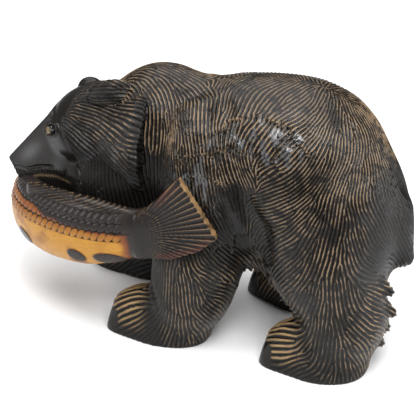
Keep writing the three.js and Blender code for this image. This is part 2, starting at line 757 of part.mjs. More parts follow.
// A heap of edges, cheapest first.
class Heap {
  items = [];
  push(item) {
    const { items } = this;
    let i = items.push(item) - 1;
    while (i > 0) {
      const up = (i - 1) >> 1;
      if (items[up].cost <= item.cost) break;
      items[i] = items[up];
      i = up;
    }
    items[i] = item;
  }
  pop() {
    const { items } = this;
    const top = items[0];
    const last = items.pop();
    if (items.length === 0) return top;
    let i = 0;
    for (let child = 1; child < items.length; child = 2 * i + 1) {
      if (child + 1 < items.length && items[child + 1].cost < items[child].cost) child++;
      if (items[child].cost >= last.cost) break;
      items[i] = items[child];
      i = child;
    }
    items[i] = last;
    return top;
  }
}

// Takes edges away, the one that moves the skin least first, until only some faces are left. Each vertex
// keeps the sum of squared distances to the planes it has stood for, as the ten numbers of a quadric.
function thinned({ places, faces }, keep) {
  const at = places.slice();
  const face = faces.slice();
  const count = at.length / 3;
  const quadric = new Float64Array(count * 10);
  const around = Array.from({ length: count }, () => []);
  const stamp = new Uint32Array(count);
  let left = face.length / 3;

  const normalOf = (f, moved = -1, other = -1, p = null) => {
    const corner = (i) => {
      const v = face[f * 3 + i];
      return v === moved || v === other ? p : [at[v * 3], at[v * 3 + 1], at[v * 3 + 2]];
    };
    const [a, b, c] = [corner(0), corner(1), corner(2)];
    const [ux, uy, uz] = [b[0] - a[0], b[1] - a[1], b[2] - a[2]];
    const [vx, vy, vz] = [c[0] - a[0], c[1] - a[1], c[2] - a[2]];
    return [uy * vz - uz * vy, uz * vx - ux * vz, ux * vy - uy * vx];
  };
  for (let f = 0; f < left; f++) {
    const n = normalOf(f);
    const size = Math.hypot(...n) || 1;
    const [a, b, c] = n.map((v) => v / size);
    const v0 = face[f * 3] * 3;
    const d = -(a * at[v0] + b * at[v0 + 1] + c * at[v0 + 2]);
    const terms = [a * a, a * b, a * c, a * d, b * b, b * c, b * d, c * c, c * d, d * d];
    for (let i = 0; i < 3; i++) {
      const v = face[f * 3 + i];
      around[v].push(f);
      for (let k = 0; k < 10; k++) quadric[v * 10 + k] += terms[k] * size;
    }
  }
  const off = (q, [x, y, z]) =>
    q[0] * x * x + 2 * q[1] * x * y + 2 * q[2] * x * z + 2 * q[3] * x + q[4] * y * y +
    2 * q[5] * y * z + 2 * q[6] * y + q[7] * z * z + 2 * q[8] * z + q[9];
  const spot = (v) => [at[v * 3], at[v * 3 + 1], at[v * 3 + 2]];
  const best = (a, b) => {
    const q = Array.from({ length: 10 }, (_, k) => quadric[a * 10 + k] + quadric[b * 10 + k]);
    const [pa, pb] = [spot(a), spot(b)];
    const middle = between(pa, pb, 0.5);
    const long = Math.hypot(pa[0] - pb[0], pa[1] - pb[1], pa[2] - pb[2]);
    // A light pull towards the middle of the edge keeps the place well defined on flat wood.
    const pull = (q[0] + q[4] + q[7]) * EDGE_PULL;
    const [xx, yy, zz] = [q[0] + pull, q[4] + pull, q[7] + pull];
    const right = [pull * middle[0] - q[3], pull * middle[1] - q[6], pull * middle[2] - q[8]];
    const c0 = yy * zz - q[5] * q[5];
    const c1 = q[2] * q[5] - q[1] * zz;
    const c2 = q[1] * q[5] - q[2] * yy;
    const size = xx * c0 + q[1] * c1 + q[2] * c2;
    let p = middle;
    if (size > 1e-12) {
      const c3 = xx * zz - q[2] * q[2];
      const c4 = q[1] * q[2] - xx * q[5];
      const c5 = xx * yy - q[1] * q[1];
      const x = (right[0] * c0 + right[1] * c1 + right[2] * c2) / size;
      const y = (right[0] * c1 + right[1] * c3 + right[2] * c4) / size;
      const z = (right[0] * c2 + right[1] * c4 + right[2] * c5) / size;
      if (Math.hypot(x - middle[0], y - middle[1], z - middle[2]) < long) p = [x, y, z];
    }
    return { p, cost: off(q, p) + long * long * EDGE_WEIGHT };
  };
  const others = (v) => {
    const found = new Set();
    for (const f of around[v]) for (let i = 0; i < 3; i++) found.add(face[f * 3 + i]);
    found.delete(v);
    return found;
  };
  const heap = new Heap();
  const offer = (a, b) => heap.push({ a, b, ...best(a, b), stamps: stamp[a] + stamp[b] });
  for (let f = 0; f < left; f++)
    for (let i = 0; i < 3; i++) {
      const a = face[f * 3 + i];
      const b = face[f * 3 + ((i + 1) % 3)];
      if (a < b) offer(a, b);
    }

  const turnsOver = (v, w, p) =>
    around[v].some((f) => {
      const corners = [face[f * 3], face[f * 3 + 1], face[f * 3 + 2]];
      if (corners.includes(w)) return false;
      const before = normalOf(f);
      const after = normalOf(f, v, w, p);
      const dot = before[0] * after[0] + before[1] * after[1] + before[2] * after[2];
      const size = Math.hypot(...after);
      const spots = corners.map((c) => (c === v ? p : spot(c)));
      const apart = (s, t) => Math.hypot(s[0] - t[0], s[1] - t[1], s[2] - t[2]);
      const widest = Math.max(...spots.map((s, i) => apart(s, spots[(i + 1) % 3])));
      return dot < LEAST_TURN * Math.hypot(...before) * size || size < SLIVER * widest * widest;
    });
  while (left > keep && heap.items.length) {
    const { a, b, p, stamps } = heap.pop();
    if (!around[a].length || !around[b].length || stamps !== stamp[a] + stamp[b]) continue;
    const nextToA = others(a);
    if (!nextToA.has(b)) continue;
    const shared = [...others(b)].filter((v) => nextToA.has(v));
    if (shared.length !== 2 || turnsOver(a, b, p) || turnsOver(b, a, p)) continue;
    for (const f of around[b]) {
      const corners = [face[f * 3], face[f * 3 + 1], face[f * 3 + 2]];
      if (corners.includes(a)) {
        for (const v of corners) if (v !== b) around[v] = around[v].filter((g) => g !== f);
        face[f * 3] = face[f * 3 + 1] = face[f * 3 + 2] = 0;
        left--;
      } else {
        face[f * 3 + corners.indexOf(b)] = a;
        around[a].push(f);
      }
    }
    around[b] = [];
    for (let i = 0; i < 3; i++) at[a * 3 + i] = p[i];
    for (let k = 0; k < 10; k++) quadric[a * 10 + k] += quadric[b * 10 + k];
    stamp[a] += 1;
    for (const v of others(a)) offer(Math.min(a, v), Math.max(a, v));
  }
  const kept = [];
  for (let f = 0; f < face.length; f += 3) {
    if (face[f] !== face[f + 1]) kept.push(face[f], face[f + 1], face[f + 2]);
  }
  return { places: at, faces: Uint32Array.from(kept) };
}

// From the field to the carving

function geometryOf({ places, faces }) {
  const geometry = new THREE.BufferGeometry();
  geometry.setAttribute("position", new THREE.BufferAttribute(Float32Array.from(places), 3));
  geometry.setIndex(new THREE.BufferAttribute(Uint32Array.from(faces), 1));
  return geometry;
}

const wasm = await Module();
wasm.setup();

function solidOf(geometry) {
  const bare = geometry.clone();
  bare.deleteAttribute("normal");
  bare.deleteAttribute("uv");
  const merged = mergeVertices(bare, 1e-5);
  const vertProperties = Float32Array.from(merged.attributes.position.array);
  const triVerts = Uint32Array.from(merged.index.array);
  return new wasm.Manifold(new wasm.Mesh({ numProp: 3, vertProperties, triVerts }));
}

// Sawn off at the floor, so that all four soles are flat and level.
function sawn(geometry) {
  const waste = new THREE.BoxGeometry(600, 400, 60).translate(0, 0, -30);
  const { vertProperties, triVerts } = solidOf(geometry).subtract(solidOf(waste)).getMesh();
  return geometryOf({ places: vertProperties, faces: triVerts });
}

const carved = thinned(carveLocks(meshOf(bear)), TRIANGLES);
const geometry = sawn(mergeVertices(geometryOf(carved), 1e-5));
geometry.computeBoundingBox();
const middle = geometry.boundingBox.getCenter(new THREE.Vector3());
geometry.translate(-middle.x, -middle.y, 0);
geometry.computeVertexNormals();

const stainedWood = new THREE.MeshStandardMaterial({ color: 0x3a312b, roughness: 0.5, metalness: 0 });
const carving = new THREE.Mesh(geometry, stainedWood);
carving.name = "bear_with_salmon";
const group = new THREE.Group();
group.add(carving);
export default group;
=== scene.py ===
"""A wooden bear with a salmon in its jaws, carved from one block and stained dark.

The wood is described as forms: functions of points in millimetres that are negative inside the wood and
positive outside it. The bear faces -X and its left side, the near one, is -Y. Three skins are drawn over the
forms, the trunk with its legs, the head with its ruff, and the salmon, and each is worked over with the gouge:
strokes of fur that follow the lie of the coat, scales, fin rays and toes. Every skin is real mesh, and the
finishes read the marks that the gouge left on its points. Two polished eyes sit in their sockets.
"""

import logging
import math
from collections.abc import Callable, Iterable
from dataclasses import dataclass, field
from enum import Enum

import bpy
import numpy as np
from mathutils import Euler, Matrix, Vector
from mathutils.kdtree import KDTree


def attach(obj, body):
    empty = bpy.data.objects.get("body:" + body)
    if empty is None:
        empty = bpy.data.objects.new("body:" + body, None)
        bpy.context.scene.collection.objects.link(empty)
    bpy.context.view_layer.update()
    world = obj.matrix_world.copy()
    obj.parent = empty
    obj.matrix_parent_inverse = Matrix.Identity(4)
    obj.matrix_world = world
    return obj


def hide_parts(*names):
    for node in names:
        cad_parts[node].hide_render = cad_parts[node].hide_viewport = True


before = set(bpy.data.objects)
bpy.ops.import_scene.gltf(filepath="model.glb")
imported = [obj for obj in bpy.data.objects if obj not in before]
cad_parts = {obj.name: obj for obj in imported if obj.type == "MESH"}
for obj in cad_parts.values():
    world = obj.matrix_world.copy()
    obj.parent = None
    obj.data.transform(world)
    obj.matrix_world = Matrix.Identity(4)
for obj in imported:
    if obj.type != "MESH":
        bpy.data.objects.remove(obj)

log = logging.getLogger("carving")

Form = Callable[[np.ndarray], np.ndarray]
Spot = tuple[float, float, float]
Flat = tuple[float, float]  # a place in the side view, as X and Z
Place = tuple[float, float]  # a place on the salmon's side, as a share of its length and a level from -1 to 1
Rgb = tuple[int, int, int]

CAD_NODE = "bear_with_salmon"
TO_FRAME = (2.79, 4.17, 0.0)  # from the carving's own axes to the frame's, in millimetres
MILLIMETRE = 0.001
TURN = 2 * math.pi
OUTSIDE = 130.0  # a Y that is outside the carving on either side, in millimetres
BURIED = 6  # how deep inside another form a skin has to lie before it is left out, in millimetres
FUR_FACTS = ("ridge", "coat", "toe", "pale", "gloss_and_painted_sheen", "tier")  # what the stained finish reads from the skin


class Side(Enum):
    """The carving's two sides, as the sign of Y."""

    NEAR = -1
    FAR = 1


# Small tools for points and blends


def vec(values: Iterable[float]) -> np.ndarray:
    """Gives three numbers as a single-precision vector."""
    return np.asarray(tuple(values), np.float32)


def unit(values: Iterable[float]) -> np.ndarray:
    """Gives a vector of length one."""
    v = vec(values)
    return v / np.linalg.norm(v)


def units(rows: np.ndarray) -> np.ndarray:
    """Gives every row at length one, or zero where it has no length."""
    return rows / (np.linalg.norm(rows, axis=1)[:, None] + 1e-12)


def eased(value: np.ndarray, low: float, high: float) -> np.ndarray:
    """Rises smoothly from 0 at one value to 1 at another.

    Args:
        value: The numbers to look up.
        low: Where the rise begins.
        high: Where the rise ends. It may be under low, for a fall.

    Returns:
        A number from 0 to 1 for each value.
    """
    t = np.clip((value - low) / (high - low), 0, 1)
    return t * t * (3 - 2 * t)


def melted(a: np.ndarray, b: np.ndarray, blend: float) -> np.ndarray:
    """Joins two forms' values, with a fillet.

    Args:
        a: One form's values.
        b: The other form's values.
        blend: The width of the fillet, in millimetres.

    Returns:
        The joined form's values.
    """
    low = np.minimum(a, b)
    if blend <= 0:
        return low
    h = np.maximum(blend - np.abs(a - b), 0) / blend
    return low - h * h * blend * 0.25


def trimmed(a: np.ndarray, b: np.ndarray, blend: float) -> np.ndarray:
    """Keeps what is inside both forms, with the edge eased over a blend in millimetres."""
    return -melted(-a, -b, blend)


def mottled(p: np.ndarray, size: float, seed: int = 0) -> np.ndarray:
    """Gives a soft, patchy value for each point, always the same for the same point.

    Args:
        p: Points, in millimetres.
        size: How far apart the patches are, in millimetres.
        seed: Picks another pattern.

    Returns:
        A number from 0 to 1 for each point.
    """
    g = p / size
    base = np.floor(g).astype(np.int64)
    f = g - base
    f = f * f * (3 - 2 * f)
    total = np.zeros(len(p))
    for corner in range(8):
        step = np.array([corner & 1, (corner >> 1) & 1, corner >> 2])
        i = base + step
        n = (i[:, 0] * 73856093) ^ (i[:, 1] * 19349663) ^ (i[:, 2] * 83492791) ^ (seed * 2654435761)
        n = ((n ^ (n >> 13)) * 1274126177) & 0xFFFFFFFF
        share = ((n ^ (n >> 16)) & 0xFFFF) / 65535
        total += share * np.abs(1 - step - f).prod(1)
    return total


def ridge_along(away: np.ndarray, width: float) -> np.ndarray:
    """Fades from 1 where a distance is nothing, to 0 at about two widths."""
    return np.exp(-((away / width) ** 2))


@dataclass(frozen=True)
class Patch:
    """A soft patch in the side view, on both sides alike: its middle in X and Z, and its reach along each."""

    x: float
    z: float
    long: float
    high: float

    def __call__(self, p: np.ndarray) -> np.ndarray:
        """Gives a number for each point, 1 in the middle of the patch and falling towards 0 around it."""
        return np.exp(-(((p[:, 0] - self.x) / self.long) ** 2) - ((p[:, 2] - self.z) / self.high) ** 2)


# Forms


@dataclass(frozen=True)
class Egg:
    """An egg of three half-widths, turned about its middle."""

    at: Spot
    half: Spot
    turn: Spot = (0, 0, 0)

    def __call__(self, p: np.ndarray) -> np.ndarray:
        """Gives the form's value at each point.

        Args:
            p: Points, in millimetres.

        Returns:
            The value of each, negative inside the wood.
        """
        rotation = np.array(Euler([math.radians(a) for a in self.turn], "XYZ").to_matrix(), np.float32)
        half = vec(self.half)
        q = (p - vec(self.at)) @ rotation / half
        reach = np.sqrt((q * q).sum(1))
        slope = np.sqrt(((q / half) ** 2).sum(1)) + 1e-9
        return reach * (reach - 1) / slope


@dataclass(frozen=True)
class Limb:
    """A limb between two points with a radius at each, which may be flattened along a direction."""

    start: Spot
    end: Spot
    r0: float
    r1: float
    across: Spot | None = None
    flat: float = 1

    def __call__(self, p: np.ndarray) -> np.ndarray:
        """Gives the form's value at each point.

        Args:
            p: Points, in millimetres.

        Returns:
            The value of each, negative inside the wood.
        """
        a = vec(self.start)
        axis = vec(self.end) - a
        t = np.clip((p - a) @ axis / (axis @ axis), 0, 1)
        off = p - a - t[:, None] * axis
        firm = 1.0
        if self.across is not None:
            n = unit(self.across)
            off = off + ((off @ n) * (1 / self.flat - 1))[:, None] * n
            firm = 0.5 + self.flat / 2
        return (np.sqrt((off * off).sum(1)) - (self.r0 + (self.r1 - self.r0) * t)) * firm


@dataclass(frozen=True)
class HalfSpace:
    """Everything behind a plane through a point, whose normal points out of the wood."""

    at: Spot
    normal: Spot

    def __call__(self, p: np.ndarray) -> np.ndarray:
        """Gives the form's value at each point."""
        return (p - vec(self.at)) @ unit(self.normal)


@dataclass(frozen=True)
class Joined:
    """Several forms melted together in order, each with its own blend."""

    parts: tuple[tuple[Form, float], ...]

    def __call__(self, p: np.ndarray) -> np.ndarray:
        """Gives the form's value at each point.

        Args:
            p: Points, in millimetres.

        Returns:
            The value of each, negative inside the wood.
        """
        (first, _), *rest = self.parts
        value = first(p)
        for form, blend in rest:
            value = melted(value, form(p), blend)
        return value


@dataclass(frozen=True)
class Facets:
    """What lies behind all of several forms, with the edges eased over a blend."""

    parts: tuple[Form, ...]
    blend: float

    def __call__(self, p: np.ndarray) -> np.ndarray:
        """Gives the form's value at each point.

        Args:
            p: Points, in millimetres.

        Returns:
            The value of each, negative inside the wood.
        """
        value = self.parts[0](p)
        for form in self.parts[1:]:
            value = trimmed(value, form(p), self.blend)
        return value


@dataclass(frozen=True)
class Near:
    """A form that is only worked out near its own place, to save time."""

    at: Spot
    reach: float
    form: Form
    margin: float = 12

    def __call__(self, p: np.ndarray) -> np.ndarray:
        """Works the form out near its place, and measures the distance to that place further off.

        Args:
            p: Points, in millimetres.

        Returns:
            The value of each, negative inside the wood.
        """
        away = np.linalg.norm(p - vec(self.at), axis=1) - self.reach
        close = away < self.margin
        if close.any():
            away[close] = self.form(p[close])
        return away


def between(a: Spot, b: Spot, t: float) -> Spot:
    """Gives a point part of the way from one point to another."""
    return tuple(u + (v - u) * t for u, v in zip(a, b))


def edge_of(form: Form, x: float, z: float, side: Side) -> Spot:
    """Finds where a line along Y meets a form, coming in from one side.

    Args:
        form: The form.
        x: The line's X.
        z: The line's Z.
        side: The side that the line comes in from.

    Returns:
        The point on the form.
    """
    out, inside = side.value * OUTSIDE, 0.0
    for _ in range(30):  # halvings, down to far less than a hair
        y = (out + inside) / 2
        if form(np.array([[x, y, z]], np.float32))[0] < 0:
            inside = y
        else:
            out = y
    return (x, out, z)


# Skins


@dataclass
class Skin:
    """A triangle mesh in millimetres, with what is known about each of its points."""

    at: np.ndarray
    faces: np.ndarray
    facts: dict[str, np.ndarray] = field(default_factory=dict)

    def normals(self) -> np.ndarray:
        """Finds which way the skin faces at each point.

        Returns:
            The unit normals, one a row.
        """
        a, b, c = (self.at[self.faces[:, i]] for i in range(3))
        flat = np.repeat(np.cross(b - a, c - a), 3, axis=0)
        corner = self.faces.ravel()
        return units(np.stack([np.bincount(corner, flat[:, i], len(self.at)) for i in range(3)], 1))

    def neighbours(self) -> np.ndarray:
        """Finds the neighbours of each point.

        Returns:
            A row of neighbours for each point, filled up with -1.
        """
        n = len(self.at)
        pairs = np.concatenate([self.faces[:, [i, j]] for i in range(3) for j in range(3) if i != j])
        key = np.unique(pairs[:, 0].astype(np.int64) * n + pairs[:, 1])
        a, b = key // n, key % n
        start = np.searchsorted(a, np.arange(n))
        rank = np.arange(len(a)) - start[a]
        rows = np.full((n, rank.max() + 1), -1, np.int64)
        rows[a, rank] = b
        return rows

    def raised(self, height: np.ndarray) -> "Skin":
        """Gives the skin with each point moved out along its normal by a height in millimetres."""
        return Skin(self.at + self.normals() * height[:, None], self.faces, self.facts)

    def without(self, *others: Form) -> "Skin":
        """Leaves out the faces that lie deep inside other forms, where nobody can see them.

        Args:
            others: The other forms.

        Returns:
            The skin that is left.
        """
        hidden = np.logical_or.reduce([form(self.at) < -BURIED for form in others])
        keep = ~hidden[self.faces].all(1)
        used = np.unique(self.faces[keep])
        place = np.full(len(self.at), -1)
        place[used] = np.arange(len(used))
        return Skin(self.at[used], place[self.faces[keep]], {k: v[used] for k, v in self.facts.items()})

    def cut_along(self, level: float, where: np.ndarray) -> "Skin":
        """Adds points along the lines where the strokes' phase has one value, so that the edge stays crisp.

        Args:
            level: The phase, 0 for the floor of a stroke and pi for the ridge between two.
            where: Which points are on worked wood.

        Returns:
            The skin with its faces divided along those lines.
        """
        n = len(self.at)
        ends = np.stack([self.faces, np.roll(self.faces, -1, 1)], 2)
        keys = ends.min(2) * n + ends.max(2)
        key, which = np.unique(keys.ravel(), return_inverse=True)
        a, b = key // n, key % n
        phase, side = self.facts["phase"], self.facts["side"]
        expected = ((side[a] + side[b]) / 2 * (self.at[b] - self.at[a])).sum(1)
        change = expected + np.angle(np.exp(1j * (phase[b] - phase[a] - expected)))
        target = level + TURN * np.round((phase[a] + change / 2 - level) / TURN)
        t = (target - phase[a]) / np.where(np.abs(change) < 1e-6, 1, change)
        cut = (np.abs(change) > 1e-6) & (t > 0.08) & (t < 0.92) & where[a] & where[b]
        fresh = np.full(len(key), -1)
        fresh[cut] = n + np.arange(cut.sum())
        a, b, t = a[cut], b[cut], t[cut][:, None]
        facts = {}
        for name, known in self.facts.items():
            share = t if known.ndim > 1 else t[:, 0]
            facts[name] = np.concatenate([known, known[a] * (1 - share) + known[b] * share])
        facts["phase"][n:] = level
        at = np.concatenate([self.at, self.at[a] * (1 - t) + self.at[b] * t])
        return Skin(at, divided(self.faces, fresh[which].reshape(-1, 3)), facts)


def divided(faces: np.ndarray, fresh: np.ndarray) -> np.ndarray:
    """Divides triangles by the new points on their edges.

    Args:
        faces: The triangles' corners.
        fresh: The new point on the edge after each corner, or -1.

    Returns:
        The corners of the triangles that take their place.
    """
    count = (fresh >= 0).sum(1)
    out = [faces[count == 0]]

    def turned(rows: np.ndarray, first: np.ndarray) -> np.ndarray:
        """Rolls each row so that its given column comes first."""
        return rows[np.arange(len(rows))[:, None], (first[:, None] + np.arange(3)) % 3]

    one = count == 1
    first = np.argmax(fresh[one] >= 0, axis=1)
    f, m = turned(faces[one], first), turned(fresh[one], first)[:, 0]
    out += [np.stack([f[:, 0], m, f[:, 2]], 1), np.stack([m, f[:, 1], f[:, 2]], 1)]
    two = count == 2
    first = (np.argmax(fresh[two] < 0, axis=1) + 1) % 3
    f, m = turned(faces[two], first), turned(fresh[two], first)
    out += [
        np.stack([m[:, 0], f[:, 1], m[:, 1]], 1),
        np.stack([f[:, 0], m[:, 0], m[:, 1]], 1),
        np.stack([f[:, 0], m[:, 1], f[:, 2]], 1),
    ]
    f, m = faces[count == 3], fresh[count == 3]
    out += [
        np.stack([f[:, 0], m[:, 0], m[:, 2]], 1),
        np.stack([m[:, 0], f[:, 1], m[:, 1]], 1),
        np.stack([m[:, 1], f[:, 2], m[:, 2]], 1),
        m,
    ]
    return np.concatenate(out)


@dataclass(frozen=True)
class Block:
    """The block of wood that a skin is found in, as a grid of points.

    The cell is the grid's step in millimetres, and a coarse step is several cells long. The form is worked out in
    every cell that is less than a margin of coarse steps from the skin, a batch of cells at a time.
    """

    low: Spot
    high: Spot
    cell: float
    coarse: int = 4
    margin: float = 1.6
    batch: int = 300_000

    def values(self, form: Form) -> np.ndarray:
        """Works the form out on the grid, finely only near the skin.

        Args:
            form: The form.

        Returns:
            The form's values, one for each point of the grid.
        """
        step = self.cell * self.coarse
        blocks = [int(math.ceil((h - l) / step)) for l, h in zip(self.low, self.high)]
        axes = [l + (np.arange(b) + (1 - 1 / self.coarse) / 2) * step for l, b in zip(self.low, blocks)]
        middles = np.stack(np.meshgrid(*axes, indexing="ij"), -1).reshape(-1, 3).astype(np.float32)
        rough = self.worked(form, middles).reshape(blocks)
        values = rough
        for axis in range(3):
            values = values.repeat(self.coarse, axis)
        near = np.argwhere(np.abs(rough) < step * self.margin)
        inner = np.argwhere(np.ones((self.coarse,) * 3))
        spots = (near[:, None] * self.coarse + inner).reshape(-1, 3)
        fine = self.worked(form, (spots * self.cell + np.array(self.low)).astype(np.float32))
        values[tuple(spots.T)] = fine
        return values

    def worked(self, form: Form, p: np.ndarray) -> np.ndarray:
        """Works a form out at many points, a batch at a time."""
        parts = [form(p[i : i + self.batch]) for i in range(0, len(p), self.batch)]
        return np.concatenate(parts).astype(np.float32)

    def skin(self, form: Form) -> Skin:
        """Draws the skin of a form: one point in each cell that the skin crosses, joined to its neighbours.

        Args:
            form: The form.

        Returns:
            The skin.
        """
        v = self.values(form)
        inside = v < 0
        size = np.array(v.shape)
        corners = [(i, j, k) for i in (0, 1) for j in (0, 1) for k in (0, 1)]
        windows = [inside[i : i + size[0] - 1, j : j + size[1] - 1, k : k + size[2] - 1] for i, j, k in corners]
        full = sum(w.astype(np.int8) for w in windows)
        active = (full > 0) & (full < 8)
        cells = np.argwhere(active)
        names = np.full(active.shape, -1, np.int64)
        names[tuple(cells.T)] = np.arange(len(cells))
        total, count = np.zeros((len(cells), 3)), np.zeros(len(cells))
        for a in corners:
            for axis in range(3):
                if a[axis]:
                    continue
                b = tuple(1 if i == axis else a[i] for i in range(3))
                va, vb = (v[tuple((cells + c).T)] for c in (a, b))
                crossed = (va < 0) != (vb < 0)
                t = np.where(crossed, va / np.where(crossed, va - vb, 1), 0)
                total += np.where(crossed[:, None], np.array(a) + t[:, None] * (np.array(b) - a), 0)
                count += crossed
        at = cells + total / count[:, None]
        faces = []
        for axis in range(3):
            u, w = (axis + 1) % 3, (axis + 2) % 3
            a = inside.take(range(size[axis] - 1), axis)
            b = inside.take(range(1, size[axis]), axis)
            edge = np.argwhere(a != b)
            edge = edge[(edge[:, u] > 0) & (edge[:, w] > 0) & (edge[:, u] < size[u] - 1) & (edge[:, w] < size[w] - 1)]
            eu, ew = np.eye(3, dtype=int)[u], np.eye(3, dtype=int)[w]
            quad = np.stack([names[tuple((edge - d).T)] for d in (eu + ew, ew, 0 * eu, eu)], 1)
            back = ~a[tuple(edge.T)]
            quad[back] = quad[back, ::-1]
            short = np.linalg.norm(at[quad[:, 0]] - at[quad[:, 2]], axis=1)
            long = np.linalg.norm(at[quad[:, 1]] - at[quad[:, 3]], axis=1)
            quad = np.where((short > long)[:, None], np.roll(quad, 1, 1), quad)
            faces += [quad[:, [0, 1, 2]], quad[:, [0, 2, 3]]]
        for _ in range(2):
            at = self.drawn_in(v, at)
        return Skin(np.array(self.low) + at * self.cell, np.concatenate(faces))

    def drawn_in(self, v: np.ndarray, at: np.ndarray) -> np.ndarray:
        """Moves points onto the skin by the grid's own values.

        Args:
            v: The grid's values.
            at: The points, in grid steps.

        Returns:
            The moved points.
        """
        base = np.clip(np.floor(at).astype(int), 0, np.array(v.shape) - 2)
        f = at - base
        value, slope = np.zeros(len(at)), np.zeros((len(at), 3))
        for i in (0, 1):
            for j in (0, 1):
                for k in (0, 1):
                    w = [(f[:, axis] if bit else 1 - f[:, axis]) for axis, bit in enumerate((i, j, k))]
                    c = v[base[:, 0] + i, base[:, 1] + j, base[:, 2] + k]
                    value += c * w[0] * w[1] * w[2]
                    slope[:, 0] += c * (1 if i else -1) * w[1] * w[2]
                    slope[:, 1] += c * (1 if j else -1) * w[0] * w[2]
                    slope[:, 2] += c * (1 if k else -1) * w[0] * w[1]
        step = slope * (value / ((slope * slope).sum(1) + 1e-9))[:, None]
        reach = np.linalg.norm(step, axis=1)[:, None]
        return at - step * np.minimum(1, 0.7 / (reach + 1e-9))


# The coat


@dataclass(frozen=True)
class Sweep:
    """One sweep of the gouge: a place on the coat and the way the fur runs there."""

    at: Spot
    way: Spot
    pitch: float = 4.5


@dataclass(frozen=True)
class Coat:
    """Strokes of fur, laid side by side along the lie of the coat, in tiers that overlap like shingles.

    The depth and the ledge, which is the rounded front of a tier, are in millimetres. The seed is where the laying
    begins, and the rounds are how often the strokes are evened out with their neighbours. The sway and the tremble
    are how far strokes wander from their even rows, in radians of the strokes' phase.
    """

    depth: float = 1.5
    rounds: int = 120
    seed: Spot = (90, -80, 190)
    sway: float = 1.1
    tremble: float = 0.3
    ledge: float = 1.9

    def turns(self, skin: Skin, slope: np.ndarray, near: np.ndarray) -> np.ndarray:
        """Lays a phase over the skin that follows a slope as well as it can.

        Args:
            skin: The skin.
            slope: How fast the phase should turn at each point, and which way, in turns of a circle a millimetre.
            near: Each point's neighbours.

        Returns:
            The phase of each point.
        """
        columns = near.T
        run = np.stack([((slope + slope[k]) / 2 * (skin.at - skin.at[k])).sum(1) for k in columns], 1)
        step = (np.exp(1j * run) * (near >= 0)).astype(np.complex64)
        phase = np.zeros(len(skin.at), np.complex64)
        seen = np.zeros(len(skin.at), bool)
        ring = np.array([np.argmin(((skin.at - np.array(self.seed)) ** 2).sum(1))])
        while not seen.all():
            phase[ring] = 1
            seen[ring] = True
            while len(ring):
                around = near[ring]
                ring = np.unique(around[around >= 0])
                ring = ring[~seen[ring]]
                total = (phase[near[ring]] * step[ring]).sum(1)
                phase[ring] = total / (np.abs(total) + 1e-9)
                seen[ring] = True
            ring = np.array([np.argmin(seen)])
        for _ in range(self.rounds):
            total = 2 * phase
            for k, column in enumerate(columns):
                total = total + phase[column] * step[:, k]
            phase = total / (np.abs(total) + 1e-9)
        return np.angle(phase).astype(np.float64)

    def laid(self, skin: Skin, way: np.ndarray, pitch: np.ndarray, tier: np.ndarray | None = None) -> Skin:
        """Lays the strokes and the tiers that they are cut in.

        Args:
            skin: The skin.
            way: The way the fur runs at each point.
            pitch: The strokes' spacing at each point, in millimetres.
            tier: The tiers' length at each point, in millimetres, or nothing for strokes that run through.

        Returns:
            The skin with the strokes' phase and each point's share of its tier, divided along the strokes'
            floors and ridges.
        """
        normals = skin.normals()
        side = units(np.cross(normals, way)) * (TURN / pitch)[:, None]
        along = units(way - (way * normals).sum(1)[:, None] * normals)
        near = skin.neighbours()
        phase = self.turns(skin, side, near)
        phase += self.sway * (2 * mottled(skin.at, 24, 2) - 1) + self.tremble * (2 * mottled(skin.at, 7, 4) - 1)
        skin.facts["tier"] = np.ones(len(phase))
        if tier is not None:
            stage = self.turns(skin, along * (math.pi / tier)[:, None], near)
            ragged = 1.3 * (mottled(skin.at, 6, 8) - 0.5) + 2.6 * (mottled(skin.at, 24, 9) - 0.5)
            stage += ragged - 0.45 * np.cos(phase) * np.cos(stage)
            place = (stage / math.pi) % 2
            share = place % 1
            ease = self.ledge / tier
            tiered = skin.facts["tiered"]
            saw = np.where(share > 1 - ease, (1 - share) / ease, share / (1 - ease))
            skin.facts["tier"] = 1 - (1 - saw) * tiered
            phase += math.pi * eased(place, 1 - ease / 2, 1 + ease / 2) * (1 - eased(place, 2 - ease, 2)) * tiered
        skin.facts["phase"] = phase
        skin.facts["side"] = side
        for level in (0.0, math.pi):
            skin = skin.cut_along(level, skin.facts["coat"] > 0.03)
        return skin

    def worked(self, skin: Skin) -> Skin:
        """Cuts the laid strokes into the skin and notes how high each point stands in them.

        Args:
            skin: The skin with its strokes laid.

        Returns:
            The skin with its strokes cut.
        """
        facts = skin.facts
        rise = np.abs(np.angle(np.exp(1j * facts["phase"]))) / math.pi
        uneven = 0.6 + 0.8 * mottled(skin.at, 15, 3)
        deep = self.depth * facts["coat"] * uneven * (1 - 0.5 * facts["gloss_and_painted_sheen"])
        facts["ridge"] = rise
        return skin.raised(deep * (rise**1.5 - 0.45) + facts["step"] * facts["coat"] * (facts["tier"] - 0.7))


def swept(p: np.ndarray, sweeps: Iterable[Sweep]) -> tuple[np.ndarray, np.ndarray]:
    """Finds the lie of the coat from the sweeps around each point, the nearest counting most.

    Args:
        p: The points.
        sweeps: Sweeps on the near side. The far side mirrors them.

    Returns:
        The way the fur runs at each point, and the strokes' spacing there.
    """
    way, pitch, total = np.zeros((len(p), 3)), np.zeros(len(p)), np.zeros(len(p))
    for sweep in sweeps:
        for side in Side:
            mirror = np.array([1, -side.value, 1])
            away = ((p - np.array(sweep.at) * mirror) ** 2).sum(1) + 60
            weight = 1 / (away * away)
            way += weight[:, None] * (unit(sweep.way) * mirror)
            pitch += weight * sweep.pitch
            total += weight
    return way, pitch / total


# From skins to pieces


